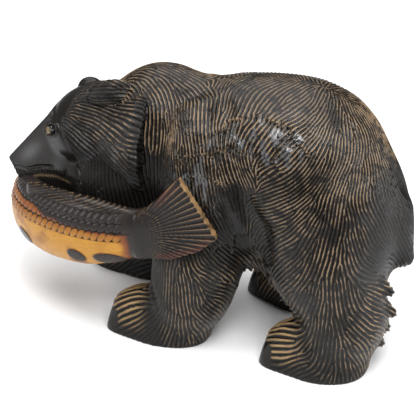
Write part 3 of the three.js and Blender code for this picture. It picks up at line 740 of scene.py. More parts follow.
def piece_of(name: str, skin: Skin, triangles: int, material: bpy.types.Material) -> bpy.types.Object:
    """Makes a Blender object of a skin, thinned to what a piece may hold.

    Args:
        name: The piece's name.
        skin: The skin.
        triangles: The most triangles that the piece keeps.
        material: Its finish.

    Returns:
        The object, in the frame's axes and metres.
    """
    mesh = bpy.data.meshes.new(name)
    at = (skin.at + np.array(TO_FRAME)) * MILLIMETRE
    fill(mesh, at, skin.faces)
    piece = bpy.data.objects.new(name, mesh)
    bpy.context.scene.collection.objects.link(piece)
    if len(skin.faces) > triangles:
        thin = piece.modifiers.new("thin", "DECIMATE")
        thin.ratio = triangles / len(skin.faces)
        thin.use_collapse_triangulate = True
        bpy.context.view_layer.update()
        after = piece.evaluated_get(bpy.context.evaluated_depsgraph_get())
        thinned = bpy.data.meshes.new_from_object(after)
        piece.modifiers.clear()
        piece.data = thinned
        bpy.data.meshes.remove(mesh)
    piece.data.name = name
    piece.data.materials.clear()
    piece.data.materials.append(material)
    piece.data.polygons.foreach_set("use_smooth", np.ones(len(piece.data.polygons), bool))
    return piece


def fill(mesh: bpy.types.Mesh, at: np.ndarray, faces: np.ndarray) -> None:
    """Fills an empty mesh with points and triangles.

    Args:
        mesh: The mesh.
        at: The points.
        faces: The triangles' corners.
    """
    mesh.vertices.add(len(at))
    mesh.vertices.foreach_set("co", at.astype(np.float32).ravel())
    mesh.loops.add(faces.size)
    mesh.loops.foreach_set("vertex_index", faces.astype(np.int32).ravel())
    mesh.polygons.add(len(faces))
    mesh.polygons.foreach_set("loop_start", np.arange(0, faces.size, 3, dtype=np.int32))
    mesh.update(calc_edges=True)
    mesh.validate()


def points_of(piece: bpy.types.Object) -> np.ndarray:
    """Reads a piece's points.

    Args:
        piece: The piece.

    Returns:
        The points in the carving's own axes, in millimetres.
    """
    at = np.zeros(len(piece.data.vertices) * 3, np.float32)
    piece.data.vertices.foreach_get("co", at)
    return at.reshape(-1, 3).astype(np.float64) / MILLIMETRE - np.array(TO_FRAME)


def noted(piece: bpy.types.Object, facts: dict[str, np.ndarray]) -> None:
    """Writes facts onto a piece's points for its finish to read.

    Args:
        piece: The piece.
        facts: The facts, by name.
    """
    for name, values in facts.items():
        layer = piece.data.attributes.new(name, "FLOAT", "POINT")
        layer.data.foreach_set("value", np.ascontiguousarray(values, np.float32))


def carried(skin: Skin, at: np.ndarray, names: Iterable[str]) -> dict[str, np.ndarray]:
    """Carries facts from a skin to the points of its thinned piece, each from the nearest point.

    Args:
        skin: The skin before it was thinned.
        at: The thinned piece's points.
        names: Which facts to carry.

    Returns:
        The facts at those points.
    """
    tree = KDTree(len(skin.at))
    for i, p in enumerate(skin.at.tolist()):
        tree.insert(p, i)
    tree.balance()
    nearest = np.array([tree.find(p)[1] for p in at.tolist()])
    return {name: skin.facts[name][nearest] for name in names}


# The carving's parts


@dataclass(frozen=True)
class Fringe:
    """A row of tufts, of three lengths in turn, that hang from a line of the body."""

    start: Spot
    end: Spot
    count: int
    lean: Spot
    reach: float
    thick: float

    def form(self) -> Form:
        """Makes the row.

        Returns:
            The row as one form.
        """
        way = unit(self.lean)
        tufts = []
        for i in range(self.count):
            root = between(self.start, self.end, i / (self.count - 1))
            long = self.reach * (0.72, 1.0, 0.84)[i % 3]
            tip = tuple(float(r + w * long) for r, w in zip(root, way))
            tufts.append((Limb(root, tip, self.thick, self.thick * 0.36), 4.5))
        half = math.dist(self.start, self.end) / 2
        reach = half + self.reach + self.thick
        return Near(between(self.start, self.end, 0.5), reach, Joined(tuple(tufts)))


@dataclass(frozen=True)
class Fold:
    """A fold between two masses of fur, cut along a line of points on the near side and again on the far side."""

    line: tuple[Spot, ...]
    radius: float
    blend: float

    def form(self, sides: Iterable[Side] = Side) -> Form:
        """Makes the fold.

        Args:
            sides: The sides that have it.

        Returns:
            The fold as one form.
        """
        runs: list[tuple[Form, float]] = []
        for side in sides:
            spots = [(x, y * -side.value, z) for x, y, z in self.line]
            runs += [(Limb(a, b, self.radius, self.radius), 2) for a, b in zip(spots, spots[1:])]
        return Joined(tuple(runs))


@dataclass(frozen=True)
class Paw:
    """A paw: the upper half of an egg, cut flat in front and on both sides, with toes parted by gouges."""

    at: Spot
    half: Spot
    side: Side

    def __call__(self, p: np.ndarray) -> np.ndarray:
        """Gives the form's value at each point.

        Args:
            p: Points, in millimetres.

        Returns:
            The value of each, negative inside the wood.
        """
        (x, y, _), (long, wide, _), side = self.at, self.half, self.side.value
        flats = (
            Egg(self.at, self.half),
            HalfSpace((x - long * 0.94, y, 0), (-1, 0, 0.25)),
            HalfSpace((x - long * 0.7, y + side * wide * 0.68, 0), (-0.22, side, 0.12)),
            HalfSpace((x - long * 0.7, y - side * wide * 0.86, 0), (-0.3, -side, 0.2)),
        )
        return Facets(flats, 3)(p)

    def toes(self, p: np.ndarray) -> np.ndarray:
        """Finds the toe strokes on top of the paw.

        Args:
            p: Points, in millimetres.

        Returns:
            How much each point belongs to them, from 0 to 1.
        """
        (x, y, _), (long, wide, high) = self.at, self.half
        front = eased(x - p[:, 0], -long * 0.05, long * 0.3) * eased(p[:, 0], x - long * 1.05, x - long * 0.86)
        top = eased(p[:, 2], high * 0.15, high * 0.4) * eased(p[:, 2], high * 1.15, high * 0.9)
        return front * top * eased(np.abs(p[:, 1] - y), wide * 1.15, wide * 0.9)


@dataclass(frozen=True)
class Leg:
    """A leg: the joints down its middle, each a place, a radius and a share of it across, and the paw.

    The blends are the fillets where it meets the trunk, between its own limbs and where it meets its paw.
    """

    joints: tuple[tuple[Spot, float, float], ...]
    paw: Paw
    blend: float
    limb_blend: float = 20
    paw_blend: float = 12

    def form(self) -> Form:
        """Makes the leg.

        Returns:
            The leg as one form.
        """
        parts = []
        for (a, r0, _), (b, r1, flat) in zip(self.joints, self.joints[1:]):
            parts.append((Limb(a, b, r0, r1, (0, 1, 0), flat), self.limb_blend))
        parts.append((Near(self.paw.at, self.paw.half[0] * 1.1, self.paw), self.paw_blend))
        return Joined(tuple(parts))


SHOULDER_LINE: tuple[Spot, ...] = (
    *((29, -44, 252), (35, -56, 244), (40, -66, 232), (44, -74, 220), (51, -79, 203)),
    *((60, -82, 185), (70, -83, 167), (80, -80, 146), (84, -76, 123)),
)
LIP_LINE: tuple[Spot, ...] = (
    *((12, -36, 246), (19, -48, 239), (24, -58, 228), (28, -66, 216)),
    *((35, -71, 200), (44, -74, 183), (54, -75, 165), (62, -73, 146)),
)


@dataclass
class Trunk:
    """The body, legs, neck and hanging fur of the bear.

    The folds are cut into both sides. The lip is the raised edge of the fur in front of the first of them, which
    only the near side has. The patches say where the coat is glossy and painted with a light grey sheen, and where
    its ridges are rubbed more or less.
    """

    coarse: float
    cell: float = 1.3
    block: tuple[Spot, Spot] = ((-160, -110, -9), (222, 112, 276))
    triangles: int = 196_000
    eggs: tuple[tuple[Form, float], ...] = (
        (Egg((105, 0, 168), (79, 77, 98)), 0),
        (Egg((137, 0, 132), (66, 72, 76)), 24),
        (Egg((50, 0, 178), (92, 76, 88)), 30),
        (Egg((-42, 0, 173), (74, 56, 93)), 24),
        (Egg((-82, -6, 138), (52, 58, 60)), 25),
        (Limb((190, -4, 150), (203, -8, 106), 16, 9), 14),
    )
    shoulders: tuple[tuple[Form, float], ...] = (
        (Egg((16, -44, 178), (40, 38, 72), (0, -12, 0)), 0),
        (Egg((-14, 42, 174), (42, 36, 68), (0, 4, 0)), 20),
    )
    neck: Limb = Limb((-30, 0, 190), (-100, -2, 190), 46, 44)
    near_hind: Leg = Leg(
        (((122, -38, 150), 50, 1), ((136, -47, 105), 46, 0.92), ((158, -52, 58), 37, 1), ((146, -51, -4), 35, 1)),
        Paw((128, -64, 0), (52, 31, 49), Side.NEAR),
        22,
    )
    far_hind: Leg = Leg(
        (((112, 38, 150), 48, 1), ((90, 46, 105), 44, 0.92), ((98, 54, 58), 37, 1), ((90, 56, -4), 36, 0.96)),
        Paw((72, 62, 0), (50, 30, 46), Side.FAR),
        22,
    )
    near_fore: Leg = Leg(
        (((8, -40, 160), 40, 1), ((10, -54, 92), 40, 0.92), ((3, -54, 55), 35, 0.96), ((-14, -48, -4), 27, 1)),
        Paw((-36, -57, 0), (53, 29, 50), Side.NEAR),
        16,
    )
    far_fore: Leg = Leg(
        (((-35, 38, 165), 44, 1), ((-54, 50, 105), 38, 0.9), ((-74, 58, 58), 33, 0.95), ((-84, 61, -4), 29, 0.98)),
        Paw((-108, 63, 0), (50, 28, 42), Side.FAR),
        18,
    )
    fringes: tuple[Fringe, ...] = (
        Fringe((40, -54, 94), (4, -46, 12), 7, (0.65, -0.05, -0.7), 18, 8.5),
        Fringe((184, -44, 94), (178, -44, 36), 4, (0.85, 0.05, -0.5), 24, 12),
        Fringe((92, -58, 92), (122, -64, 62), 8, (-0.75, 0, -0.5), 13, 6.5),
        Fringe((44, -44, 98), (76, -48, 96), 5, (0.1, 0, -1), 14, 6.5),
        Fringe((10, -80, 152), (50, -74, 152), 8, (0.12, -0.2, -1), 32, 5.5),
        Fringe((-24, 50, 92), (-52, 56, 12), 11, (0.8, 0.1, -0.45), 16, 6.5),
        Fringe((124, 44, 84), (118, 48, 12), 10, (0.75, 0, -0.5), 15, 6.5),
        Fringe((54, 52, 92), (68, 58, 62), 6, (-0.75, 0, -0.5), 12, 6),
        Fringe((10, 40, 98), (44, 42, 96), 5, (0.1, 0, -1), 14, 6.5),
    )
    folds: tuple[Fold, ...] = (
        Fold(SHOULDER_LINE, 6.5, 12),
        Fold(((-30, -64, 222), (-34, -74, 190), (-36, -76, 160), (-34, -74, 140)), 12, 14),
        Fold(((84, -84, 150), (76, -74, 120), (70, -60, 104)), 4, 12),
    )
    lip: Fold = Fold(LIP_LINE, 8, 7)
    # the coat's glossy patches, which are also painted with a light grey sheen
    drape_sheen: Patch = Patch(18, 187, 28, 38)
    flank_sheen: Patch = Patch(76, 228, 44, 20)
    rubbed_haunch: Patch = Patch(145, 150, 44, 90)
    dark_shoulder: Patch = Patch(15, 170, 34, 44)
    sweeps: tuple[Sweep, ...] = (
        # hump and collar
        Sweep((-78, -2, 253), (0.8, -0.3, 0.4), 4.2),
        Sweep((-55, -11, 263), (1, -0.3, 0.1), 4.2),
        Sweep((-35, -10, 264), (1, -0.2, -0.1), 4),
        Sweep((-15, -14, 258), (0.9, -0.3, -0.3), 4),
        Sweep((5, -22, 254), (0.8, -0.6, -0.2), 4),
        Sweep((-43, -25, 256), (0.8, -0.5, -0.4), 4.2),
        Sweep((-31, -32, 247), (0.4, -0.6, -0.7), 4),
        Sweep((-51, -31, 249), (0.6, -0.6, -0.5), 4.2),
        Sweep((-43, -42, 236), (0.1, -0.6, -0.8), 4),
        Sweep((-37, -57, 225), (-0.1, -0.3, -1), 4),
        Sweep((15, -22, 255), (0.5, -0.8, -0.2), 4),
        Sweep((-35, -60, 190), (0.1, 0, -1), 4.4),
        Sweep((-33, -62, 165), (0.15, 0, -1), 4.4),
        # shoulder drape
        Sweep((-11, -46, 243), (0.3, -0.9, -0.3), 3.4),
        Sweep((-3, -74, 215), (0.1, -0.4, -0.9), 3.4),
        Sweep((11, -60, 242), (0.4, -0.7, -0.6), 3.4),
        Sweep((20, -77, 210), (0.2, -0.3, -0.9), 3.4),
        Sweep((30, -66, 227), (0.3, -0.5, -0.8), 3.6),
        Sweep((12, -91, 185), (0.2, -0.3, -0.9), 3.4),
        Sweep((29, -82, 183), (0.1, 0, -1), 3.4),
        Sweep((41, -75, 203), (0.2, -0.2, -0.9), 3.6),
        Sweep((35, -82, 150), (0.3, -0.3, -0.9), 3.4),
        Sweep((49, -80, 131), (0.7, 0.3, -0.7), 4),
        Sweep((50, -78, 166), (0.5, 0, -0.9), 3.8),
        # back
        Sweep((16, -13, 258), (-0.2, -0.9, -0.3), 3.4),
        Sweep((37, -14, 264), (-0.4, -0.9, -0.3), 3.5),
        Sweep((63, -10, 268), (-0.5, -0.8, -0.2), 3.5),
        Sweep((94, -7, 269), (-0.4, -0.9, -0.1), 3.5),
        Sweep((34, -35, 255), (-0.1, -0.9, -0.5), 3.7),
        Sweep((55, -39, 256), (-0.2, -0.8, -0.6), 3.7),
        Sweep((79, -38, 258), (-0.4, -0.8, -0.5), 3.7),
        Sweep((101, -30, 262), (-0.4, -0.8, -0.4), 3.5),
        # flank
        Sweep((44, -55, 240), (0, -0.7, -0.7), 3.7),
        Sweep((58, -57, 238), (-0.3, -0.6, -0.8), 3.9),
        Sweep((81, -63, 234), (-0.3, -0.5, -0.8), 3.7),
        Sweep((96, -62, 234), (-0.5, -0.5, -0.7), 3.4),
        Sweep((108, -59, 235), (-0.6, -0.6, -0.6), 3.2),
        Sweep((115, -39, 252), (-0.5, -0.8, -0.5), 3.4),
        Sweep((56, -73, 209), (0.4, -0.2, -0.9), 3.5),
        Sweep((65, -77, 197), (0.6, -0.3, -0.7), 3.5),
        Sweep((86, -75, 208), (-0.8, -0.2, -0.6), 3.4),
        Sweep((95, -78, 193), (-0.9, -0.2, -0.4), 3.4),
        Sweep((104, -81, 182), (-0.8, -0.1, -0.6), 3.4),
        Sweep((93, -83, 160), (-0.8, 0.2, -0.5), 3.4),
        Sweep((117, -76, 195), (-0.6, -0.4, -0.7), 3.2),
        Sweep((126, -84, 170), (-0.5, -0.3, -0.8), 3.2),
        Sweep((82, -80, 176), (-0.9, 0.1, -0.3), 3.4),
        Sweep((85, -79, 134), (-0.6, 0.4, -0.7), 3.4),
        # haunch
        Sweep((117, -21, 262), (-0.1, -0.9, -0.3), 3.8),
        Sweep((130, -18, 258), (0.2, -0.9, -0.4), 3.6),
        Sweep((142, -6, 254), (0.5, -0.8, -0.4), 3.6),
        Sweep((155, -4, 244), (0.6, -0.3, -0.7), 3.6),
        Sweep((129, -56, 229), (-0.3, -0.6, -0.7), 3.7),
        Sweep((141, -50, 228), (0.1, -0.6, -0.8), 3.6),
        Sweep((153, -41, 226), (0.3, -0.4, -0.9), 3.6),
        Sweep((170, -11, 224), (0.5, -0.3, -0.8), 3.6),
        Sweep((189, -2, 188), (0.4, -0.3, -0.9), 3.6),
        Sweep((140, -73, 188), (-0.1, -0.5, -0.9), 3.6),
        Sweep((152, -67, 187), (0.1, -0.4, -0.9), 3.6),
        Sweep((164, -59, 183), (0.4, -0.2, -0.9), 3.6),
        Sweep((178, -51, 171), (0.5, 0.3, -0.9), 3.8),
        Sweep((189, -37, 163), (0.5, 0.1, -0.9), 3.8),
        Sweep((203, -22, 134), (0.3, 0.3, -0.9), 3.8),
        # thigh
        Sweep((113, -88, 139), (-0.7, 0.1, -0.7), 3.8),
        Sweep((127, -88, 141), (-0.4, -0.2, -0.9), 3.7),
        Sweep((141, -87, 143), (-0.1, -0.3, -0.9), 3.6),
        Sweep((154, -83, 144), (0.1, -0.3, -1), 3.6),
        Sweep((170, -73, 142), (0.3, -0.1, -0.9), 3.7),
        Sweep((185, -61, 125), (0.6, 0.5, -0.6), 4),
        Sweep((193, -44, 111), (0.3, 0.8, -0.5), 4),
        # hind leg
        Sweep((186, -64, 108), (0.5, 0.8, -0.4), 4.2),
        Sweep((192, -60, 87), (0.4, 0.7, -0.6), 4.2),
        Sweep((123, -95, 105), (-0.4, 0.1, -0.9), 3.7),
        Sweep((108, -88, 106), (-0.5, 0.4, -0.7), 3.8),
        Sweep((141, -94, 94), (-0.1, 0.1, -1), 3.6),
        Sweep((158, -91, 96), (0.1, 0, -1), 3.6),
        Sweep((173, -83, 94), (0.3, 0, -0.9), 3.7),
        Sweep((186, -79, 75), (0.7, 0.3, -0.7), 4),
        Sweep((194, -72, 65), (0.5, 0.7, -0.5), 4.2),
        Sweep((183, -86, 57), (0.5, 0.4, -0.7), 4),
        Sweep((178, -83, 33), (0.2, 0.5, -0.9), 3.8),
        Sweep((160, -92, 41), (0, 0.1, -1), 3.7),
        Sweep((144, -90, 37), (-0.1, 0, -1), 3.7),
        Sweep((127, -86, 36), (-0.4, -0.1, -0.9), 3.8),
        Sweep((116, -89, 16), (-0.6, 0.1, -0.8), 4),
        # foreleg
        Sweep((-3, -93, 102), (-0.1, -0.1, -1), 3.6),
        Sweep((-13, -90, 71), (-0.1, 0, -1), 3.6),
        Sweep((-32, -81, 29), (-0.7, 0, -0.8), 3.9),
        Sweep((-14, -85, 27), (-0.3, 0.2, -0.9), 3.7),
        Sweep((6, -91, 41), (-0.1, 0.3, -1), 3.6),
        Sweep((18, -93, 73), (0, 0.1, -1), 3.7),
        Sweep((29, -91, 104), (0.8, 0.3, -0.5), 4),
        Sweep((39, -83, 77), (0.6, 0.6, -0.5), 4.2),
        Sweep((30, -84, 50), (0.4, 0.6, -0.7), 4),
        Sweep((17, -80, 27), (0.1, 0.5, -0.9), 3.8),
        Sweep((8, -96, 78), (0, 0.1, -1), 3.6),
        Sweep((21, -92, 110), (0.3, -0.2, -0.9), 3.7),
        Sweep((46, -79, 101), (0.6, 0.5, -0.6), 4.2),
        # toes
        Sweep((-68, -71, 31), (-0.8, 0.2, -0.6), 5.5),
        Sweep((-52, -70, 42), (-1, 0, -0.3), 5.5),
        Sweep((-36, -74, 45), (-0.9, 0.4, -0.3), 5),
        Sweep((-75, -73, 15), (-0.7, 0.2, -0.7), 5),
        Sweep((103, -80, 33), (-0.9, 0.2, -0.3), 5.5),
        Sweep((115, -81, 38), (-1, 0.2, -0.2), 5.5),
        Sweep((110, -85, 23), (-0.9, 0.2, -0.2), 5.5),
        Sweep((95, -81, 20), (-0.9, 0.2, -0.3), 5.5),
        Sweep((123, -89, 22), (-0.9, 0.1, -0.4), 4.6),
        Sweep((-60, -45, 38), (-1, 0, -0.2), 5.5),
        Sweep((95, -50, 36), (-1, 0, -0.2), 5.5),
        # breast, belly and rump
        Sweep((-90, -55, 120), (0.1, 0, -1)),
        Sweep((-110, -10, 120), (0.1, 0, -1)),
        Sweep((20, -20, 92), (1, 0, 0)),
        Sweep((80, -20, 88), (1, 0, 0)),
        Sweep((205, 0, 150), (0.1, 0, -1), 3.8),
        Sweep((196, -20, 80), (0, 0, -1), 4),
    )

    @property
    def legs(self) -> tuple[Leg, ...]:
        """Gives the four legs."""
        return (self.near_hind, self.far_hind, self.near_fore, self.far_fore)

    def form(self) -> Form:
        """Makes the trunk.

        Returns:
            The trunk as one form, sawn off flat at the floor.
        """
        parts = [(Joined(self.eggs), 0), (Joined(self.shoulders), 14)]
        parts += [(leg.form(), leg.blend) for leg in self.legs]
        parts.append((self.neck, 14))
        parts += [(fringe.form(), 4) for fringe in self.fringes]
        parts.append((self.lip.form((Side.NEAR,)), self.lip.blend))
        whole = Joined(tuple(parts))
        folds = tuple(fold.form() for fold in self.folds)

        def sawn(p: np.ndarray) -> np.ndarray:
            """Cuts the folds and the floor into the whole.

            Args:
                p: Points, in millimetres.

            Returns:
                The value of each, negative inside the wood.
            """
            value = whole(p)
            for fold, form in zip(self.folds, folds):
                value = trimmed(value, -form(p), fold.blend)
            return np.maximum(value, -p[:, 2])

        return sawn

    def skin(self, head: Form, salmon: Form) -> Skin:
        """Carves the trunk.

        Args:
            head: The head, which hides what lies deep inside it.
            salmon: The salmon, which hides what lies deep inside it.

        Returns:
            The finished skin.
        """
        skin = Block(*self.block, self.cell * self.coarse).skin(self.form())
        skin.at[skin.at[:, 2] < 0.6, 2] = 0  # the soles, sawn flat
        skin = skin.without(head, salmon)
        skin.facts.update(self.facts(skin.at))
        way, pitch = swept(skin.at, self.sweeps)
        coat = Coat()
        return coat.worked(coat.laid(skin, way, pitch, skin.facts["long"]))

    def facts(self, p: np.ndarray) -> dict[str, np.ndarray]:
        """Notes what kind of wood each point is on.

        Args:
            p: Points on the skin.

        Returns:
            Shares from 0 to 1, and the length and height of the tiers in millimetres, by name.
        """
        toe = np.maximum.reduce([leg.paw.toes(p) for leg in self.legs])
        coat = eased(p[:, 2], 1, 4) * (1 + 0.5 * toe) * (1 - 0.4 * eased(p[:, 2], 242, 262))
        for leg in self.legs:
            (x, y, _), (long, wide, high) = leg.paw.at, leg.paw.half
            tip = eased(p[:, 0], x - long * 0.55, x - long * 0.66) * eased(p[:, 2], high * 0.62, high * 0.45)
            coat = coat * (1 - tip * (np.abs(p[:, 1] - y) < wide * 1.3) * (p[:, 0] > x - long * 1.5))
        # painted sheen: light grey streaks over the glossy patches on the shoulder drape and the flank, where the
        # finish is also glossier
        flank = self.flank_sheen(p)
        glossy = np.maximum(self.drape_sheen(p), flank)
        streaks = mottled(p * np.array([1, 1, 0.35]), 4.4, 5)
        painted_sheen = eased(streaks * np.sqrt(glossy), 0.46, 0.54)
        rump = eased(p[:, 0], 168, 196) * eased(p[:, 2], 100, 130)
        tiered = eased(glossy, 0.15, 0.4) * (1 - toe) * eased(p[:, 2], 258, 246)
        return {
            "coat": coat * (1 - 0.35 * rump),
            "toe": toe,
            "pale": np.zeros(len(p)),
            "gloss_and_painted_sheen": painted_sheen * (1 - toe),
            "long": 26 - 6 * flank,
            "tiered": tiered,
            "step": 2.2 * tiered,
        }

    def rubbing_and_shade(self, p: np.ndarray) -> np.ndarray:
        """Finds how much the ridges are rubbed back to brown, most along the back and least low down. They stay dark
        as painted shade in the hollow at the shoulder fold, behind the ruff and under the head.

        Args:
            p: Points on the skin.

        Returns:
            A share from 0 to 1 for each.
        """
        back = eased(p[:, 2], 150, 245)
        rump = eased(p[:, 0], 168, 195) * eased(p[:, 2], 90, 120)
        heel = eased(p[:, 0], 160, 180) * eased(p[:, 2], 110, 80)
        # painted shade: no brown in the hollow at the shoulder fold, behind the ruff and under the head, below
        # shoulder height
        hollow = 0.8 * ridge_along(p[:, 0] - 54, 9) * eased(p[:, 2], 196, 182) * eased(p[:, 2], 104, 124)
        ahead = np.maximum(ridge_along(p[:, 0] + 36, 17), eased(p[:, 0], -40, -56))
        painted_recess_shade = hollow + ahead * eased(p[:, 2], 204, 184)
        foreleg = 0.3 * eased(p[:, 2], 112, 96) * eased(p[:, 0], 62, 48)
        haunch, shoulder = self.rubbed_haunch(p), self.dark_shoulder(p)
        rub_and_shade = 0.42 + foreleg + 0.7 * back + 0.35 * haunch - 0.15 * shoulder - 0.5 * rump + 0.3 * heel - painted_recess_shade
        return np.clip(rub_and_shade, 0.04, 1)

    def build(self, head: Form, salmon: Form, wood: bpy.types.Material) -> bpy.types.Object:
        """Builds the trunk's piece and dresses it.

        Args:
            head: The head, which hides what lies deep inside it.
            salmon: The salmon, which hides what lies deep inside it.
            wood: The stained finish.

        Returns:
            The piece.
        """
        skin = self.skin(head, salmon)
        piece = piece_of("bear_body", skin, self.triangles, wood)
        at = points_of(piece)
        noted(piece, carried(skin, at, FUR_FACTS) | {"rub_and_shade": self.rubbing_and_shade(at)})
        return piece


@dataclass
class Head:
    """The head of the bear with its ruff, ears and jaws.

    The mouth, the eye and the crease are places in the side view. The crease is where the smooth face ends and the
    fur begins, and its place is the foremost one. The slant is how the eyes lean down towards the nose, in degrees.
    The opening between the lids is given by its reach towards the nose, away from it, and up and down.
    """

    coarse: float
    cell: float = 1.15
    block: tuple[Spot, Spot] = ((-226, -88, 86), (-26, 72, 262))
    triangles: int = 150_000
    nose: Spot = (-213, -6, 146)
    half_at_nose: float = 10
    mouth: tuple[Flat, ...] = ((-204, 139), (-190, 139), (-172, 147), (-150, 152))
    crease: Flat = (-141, 203)
    eye: Flat = (-154, 194)
    slant: float = 32
    groove: float = 1.7
    socket: Spot = (10, 4.6, 5.6)
    eyeball: Spot = (5.4, 5.4, 5.0)
    sunk: float = 4.4
    opening: Spot = (10.5, 7.5, 5.4)
    throat: Limb = Limb((-132, -14, 152), (-86, -22, 136), 24, 42)
    collar: Limb = Limb((-138, -5, 184), (-54, -7, 190), 26, 62)
    collar_end: HalfSpace = HalfSpace((-43, -20, 205), (1, -0.05, 0.05))
    # where the lower cheek is glossier and painted with light grey glints
    cheek_sheen: Patch = Patch(-88, 170, 26, 22)
    # where the laid-back near ear is kept dark as painted shade
    shaded_ear: Patch = Patch(-96, 242, 26, 12)
    eyes: tuple[Egg, ...] = ()
    sweeps: tuple[Sweep, ...] = (
        # crown and ruff
        Sweep((-132, -31, 222), (0.9, -0.2, 0.4), 3.4),
        Sweep((-129, -26, 227), (0.9, -0.2, 0.3), 3.4),
        Sweep((-91, -28, 232), (1, -0.2, 0.2), 3.6),
        Sweep((-112, -40, 218), (1, -0.1, 0), 3.6),
        Sweep((-72, -42, 233), (0.9, -0.4, 0.3), 3.8),
        Sweep((-71, -55, 221), (0.9, -0.4, 0.2), 4.4),
        Sweep((-84, -17, 244), (0.8, -0.5, 0.2), 4),
        Sweep((-82, -26, 240), (0.9, -0.5, 0.2), 4),
        # cheek
        Sweep((-124, -43, 208), (0.9, -0.4, -0.4), 4),
        Sweep((-98, -47, 207), (0.9, -0.3, -0.2), 4.6),
        Sweep((-62, -63, 210), (1, -0.2, 0), 5),
        Sweep((-118, -47, 197), (0.7, -0.3, -0.7), 4.2),
        Sweep((-101, -50, 189), (0.8, -0.3, -0.5), 4.8),
        Sweep((-82, -56, 190), (0.8, -0.4, -0.4), 5),
        Sweep((-55, -68, 183), (0.9, 0, -0.4), 5),
        Sweep((-92, -54, 179), (0.8, -0.4, -0.5), 5),
        Sweep((-77, -61, 167), (0.9, -0.2, -0.3), 5),
        Sweep((-51, -67, 202), (0.9, 0.3, -0.2), 5),
        Sweep((-58, -62, 156), (0.8, 0.1, -0.6), 4.6),
        # lower lip and throat
        Sweep((-190, -22, 130), (0.1, 0, -1), 3.4),
        Sweep((-165, -28, 138), (0.15, 0, -1), 3.4),
        Sweep((-135, -38, 146), (0.3, 0, -1), 3.6),
        Sweep((-104, -52, 162), (0.75, -0.2, -0.65), 4.6),
        Sweep((-90, -56, 150), (0.75, -0.2, -0.6), 4.8),
        Sweep((-70, -60, 140), (0.75, -0.1, -0.65), 4.8),
    )

    def muzzle(self) -> Form:
        """Makes the muzzle.

        Returns:
            The muzzle as one form, a wedge of flat facets.
        """
        x, y, z = self.nose
        n = self.half_at_nose
        planes = (
            HalfSpace((x, y, z), (-0.75, 0, 0.66)),
            HalfSpace((x, y, z - 2), (-0.8, 0, -0.6)),
            HalfSpace((x + 5, y - n, z), (-0.25, -0.96, 0.05)),
            HalfSpace((x + 5, y + n, z), (-0.25, 0.96, 0.05)),
            HalfSpace((x + 12, y, 124), (-0.12, 0, -1)),
            HalfSpace((-158, y, 209), (0.75, 0, 0.66)),
        )
        return Facets(planes, 2.5)

    def skull(self) -> Form:
        """Gives the skull with the muzzle."""
        return Joined(((Egg((-112, -4, 193), (55, 43, 44), (0, -20, 0)), 0), (self.muzzle(), 6)))

    def ear(self, at: Spot, side: Side) -> Form:
        """Makes one ear that stands up.

        Args:
            at: The ear's middle.
            side: The ear's side.

        Returns:
            The ear as one form, a small shell with a hollow in front.
        """
        x, y, z = at
        turn = (side.value * 12, 25, 25 * side.value)
        shell = Egg(at, (13, 8, 12), turn)
        bowl = Egg((x - 7, y + side.value * 4, z + 2), (9, 7, 10), turn)
        return lambda p: trimmed(shell(p), -bowl(p), 3)

    def ears(self) -> tuple[Form, ...]:
        """Gives the far ear, which stands up, and the near ear, which is laid back in the fur."""
        return (self.ear((-130, 14, 224), Side.FAR), Egg((-91, -24, 240), (26, 11, 12), (0, -12, 4)))

    def form(self) -> Form:
        """Makes the head, and notes where its eyes are.

        Returns:
            The head as one form.
        """
        skull = self.skull()
        cuts: list[Form] = []
        balls = []
        for side in Side:
            spots = [edge_of(skull, x, z, side) for x, z in self.mouth]
            runs = tuple((Limb(a, b, self.groove, self.groove), 0.5) for a, b in zip(spots, spots[1:]))
            cuts.append(Near((-175, spots[1][1], 145), 45, Joined(runs)))
            x, y, z = edge_of(skull, *self.eye, side)
            cuts.append(Egg((x, y, z), self.socket, (0, self.slant, 0)))
            balls.append(Egg((x + 1.5, y - side.value * self.sunk, z), self.eyeball))
        self.eyes = tuple(balls)

        def opened(p: np.ndarray) -> np.ndarray:
            """Cuts the mouth and the eye sockets into the skull.

            Args:
                p: Points, in millimetres.

            Returns:
                The value of each, negative inside the wood.
            """
            value = skull(p)
            for cut in cuts:
                value = trimmed(value, -cut(p), 1.5)
            return value

        def ruff(p: np.ndarray) -> np.ndarray:
            """Gives the form's value of the ruff, whose rear edge is cut off in points."""
            flat = p * np.array([0, 1, 1])
            return trimmed(self.collar(p), self.collar_end(p) + 5 * mottled(flat, 10, 6) - 1, 2)

        return Joined(((self.throat, 0), (ruff, 5), (opened, 7), *((ear, 3) for ear in self.ears())))

    def behind(self, p: np.ndarray) -> np.ndarray:
        """Measures how far points lie behind the crease.

        Args:
            p: Points, in millimetres.

        Returns:
            The distance along X of each, in millimetres.
        """
        x, z = self.crease
        below = x + 0.62 * (z - p[:, 2])
        above = x + 0.35 * (p[:, 2] - z)
        return p[:, 0] - np.where(p[:, 2] < z, np.minimum(below, x + 35), above)

    def skin(self, trunk: Form, salmon: Form) -> Skin:
        """Carves the head.

        Args:
            trunk: The trunk, which hides what lies deep inside it.
            salmon: The salmon, which hides what lies deep inside it.

        Returns:
            The finished skin.
        """
        skin = Block(*self.block, self.cell * self.coarse).skin(self.form()).without(trunk, salmon)
        skin.facts.update(self.facts(skin.at))
        behind = self.behind(skin.at)
        low = eased(skin.at[:, 2], 216, 206) * eased(skin.at[:, 2], 146, 154)
        step = 2.6 * eased(behind, -1, 4) * eased(behind, 40, 12) - 1.2 * ridge_along(behind + 2, 3)
        skin = skin.raised(low * step + self.lids(skin.at))
        way, pitch = swept(skin.at, self.sweeps)
        coat = Coat(1.7, seed=(-90, -55, 190))
        return coat.worked(coat.laid(skin, way, pitch))

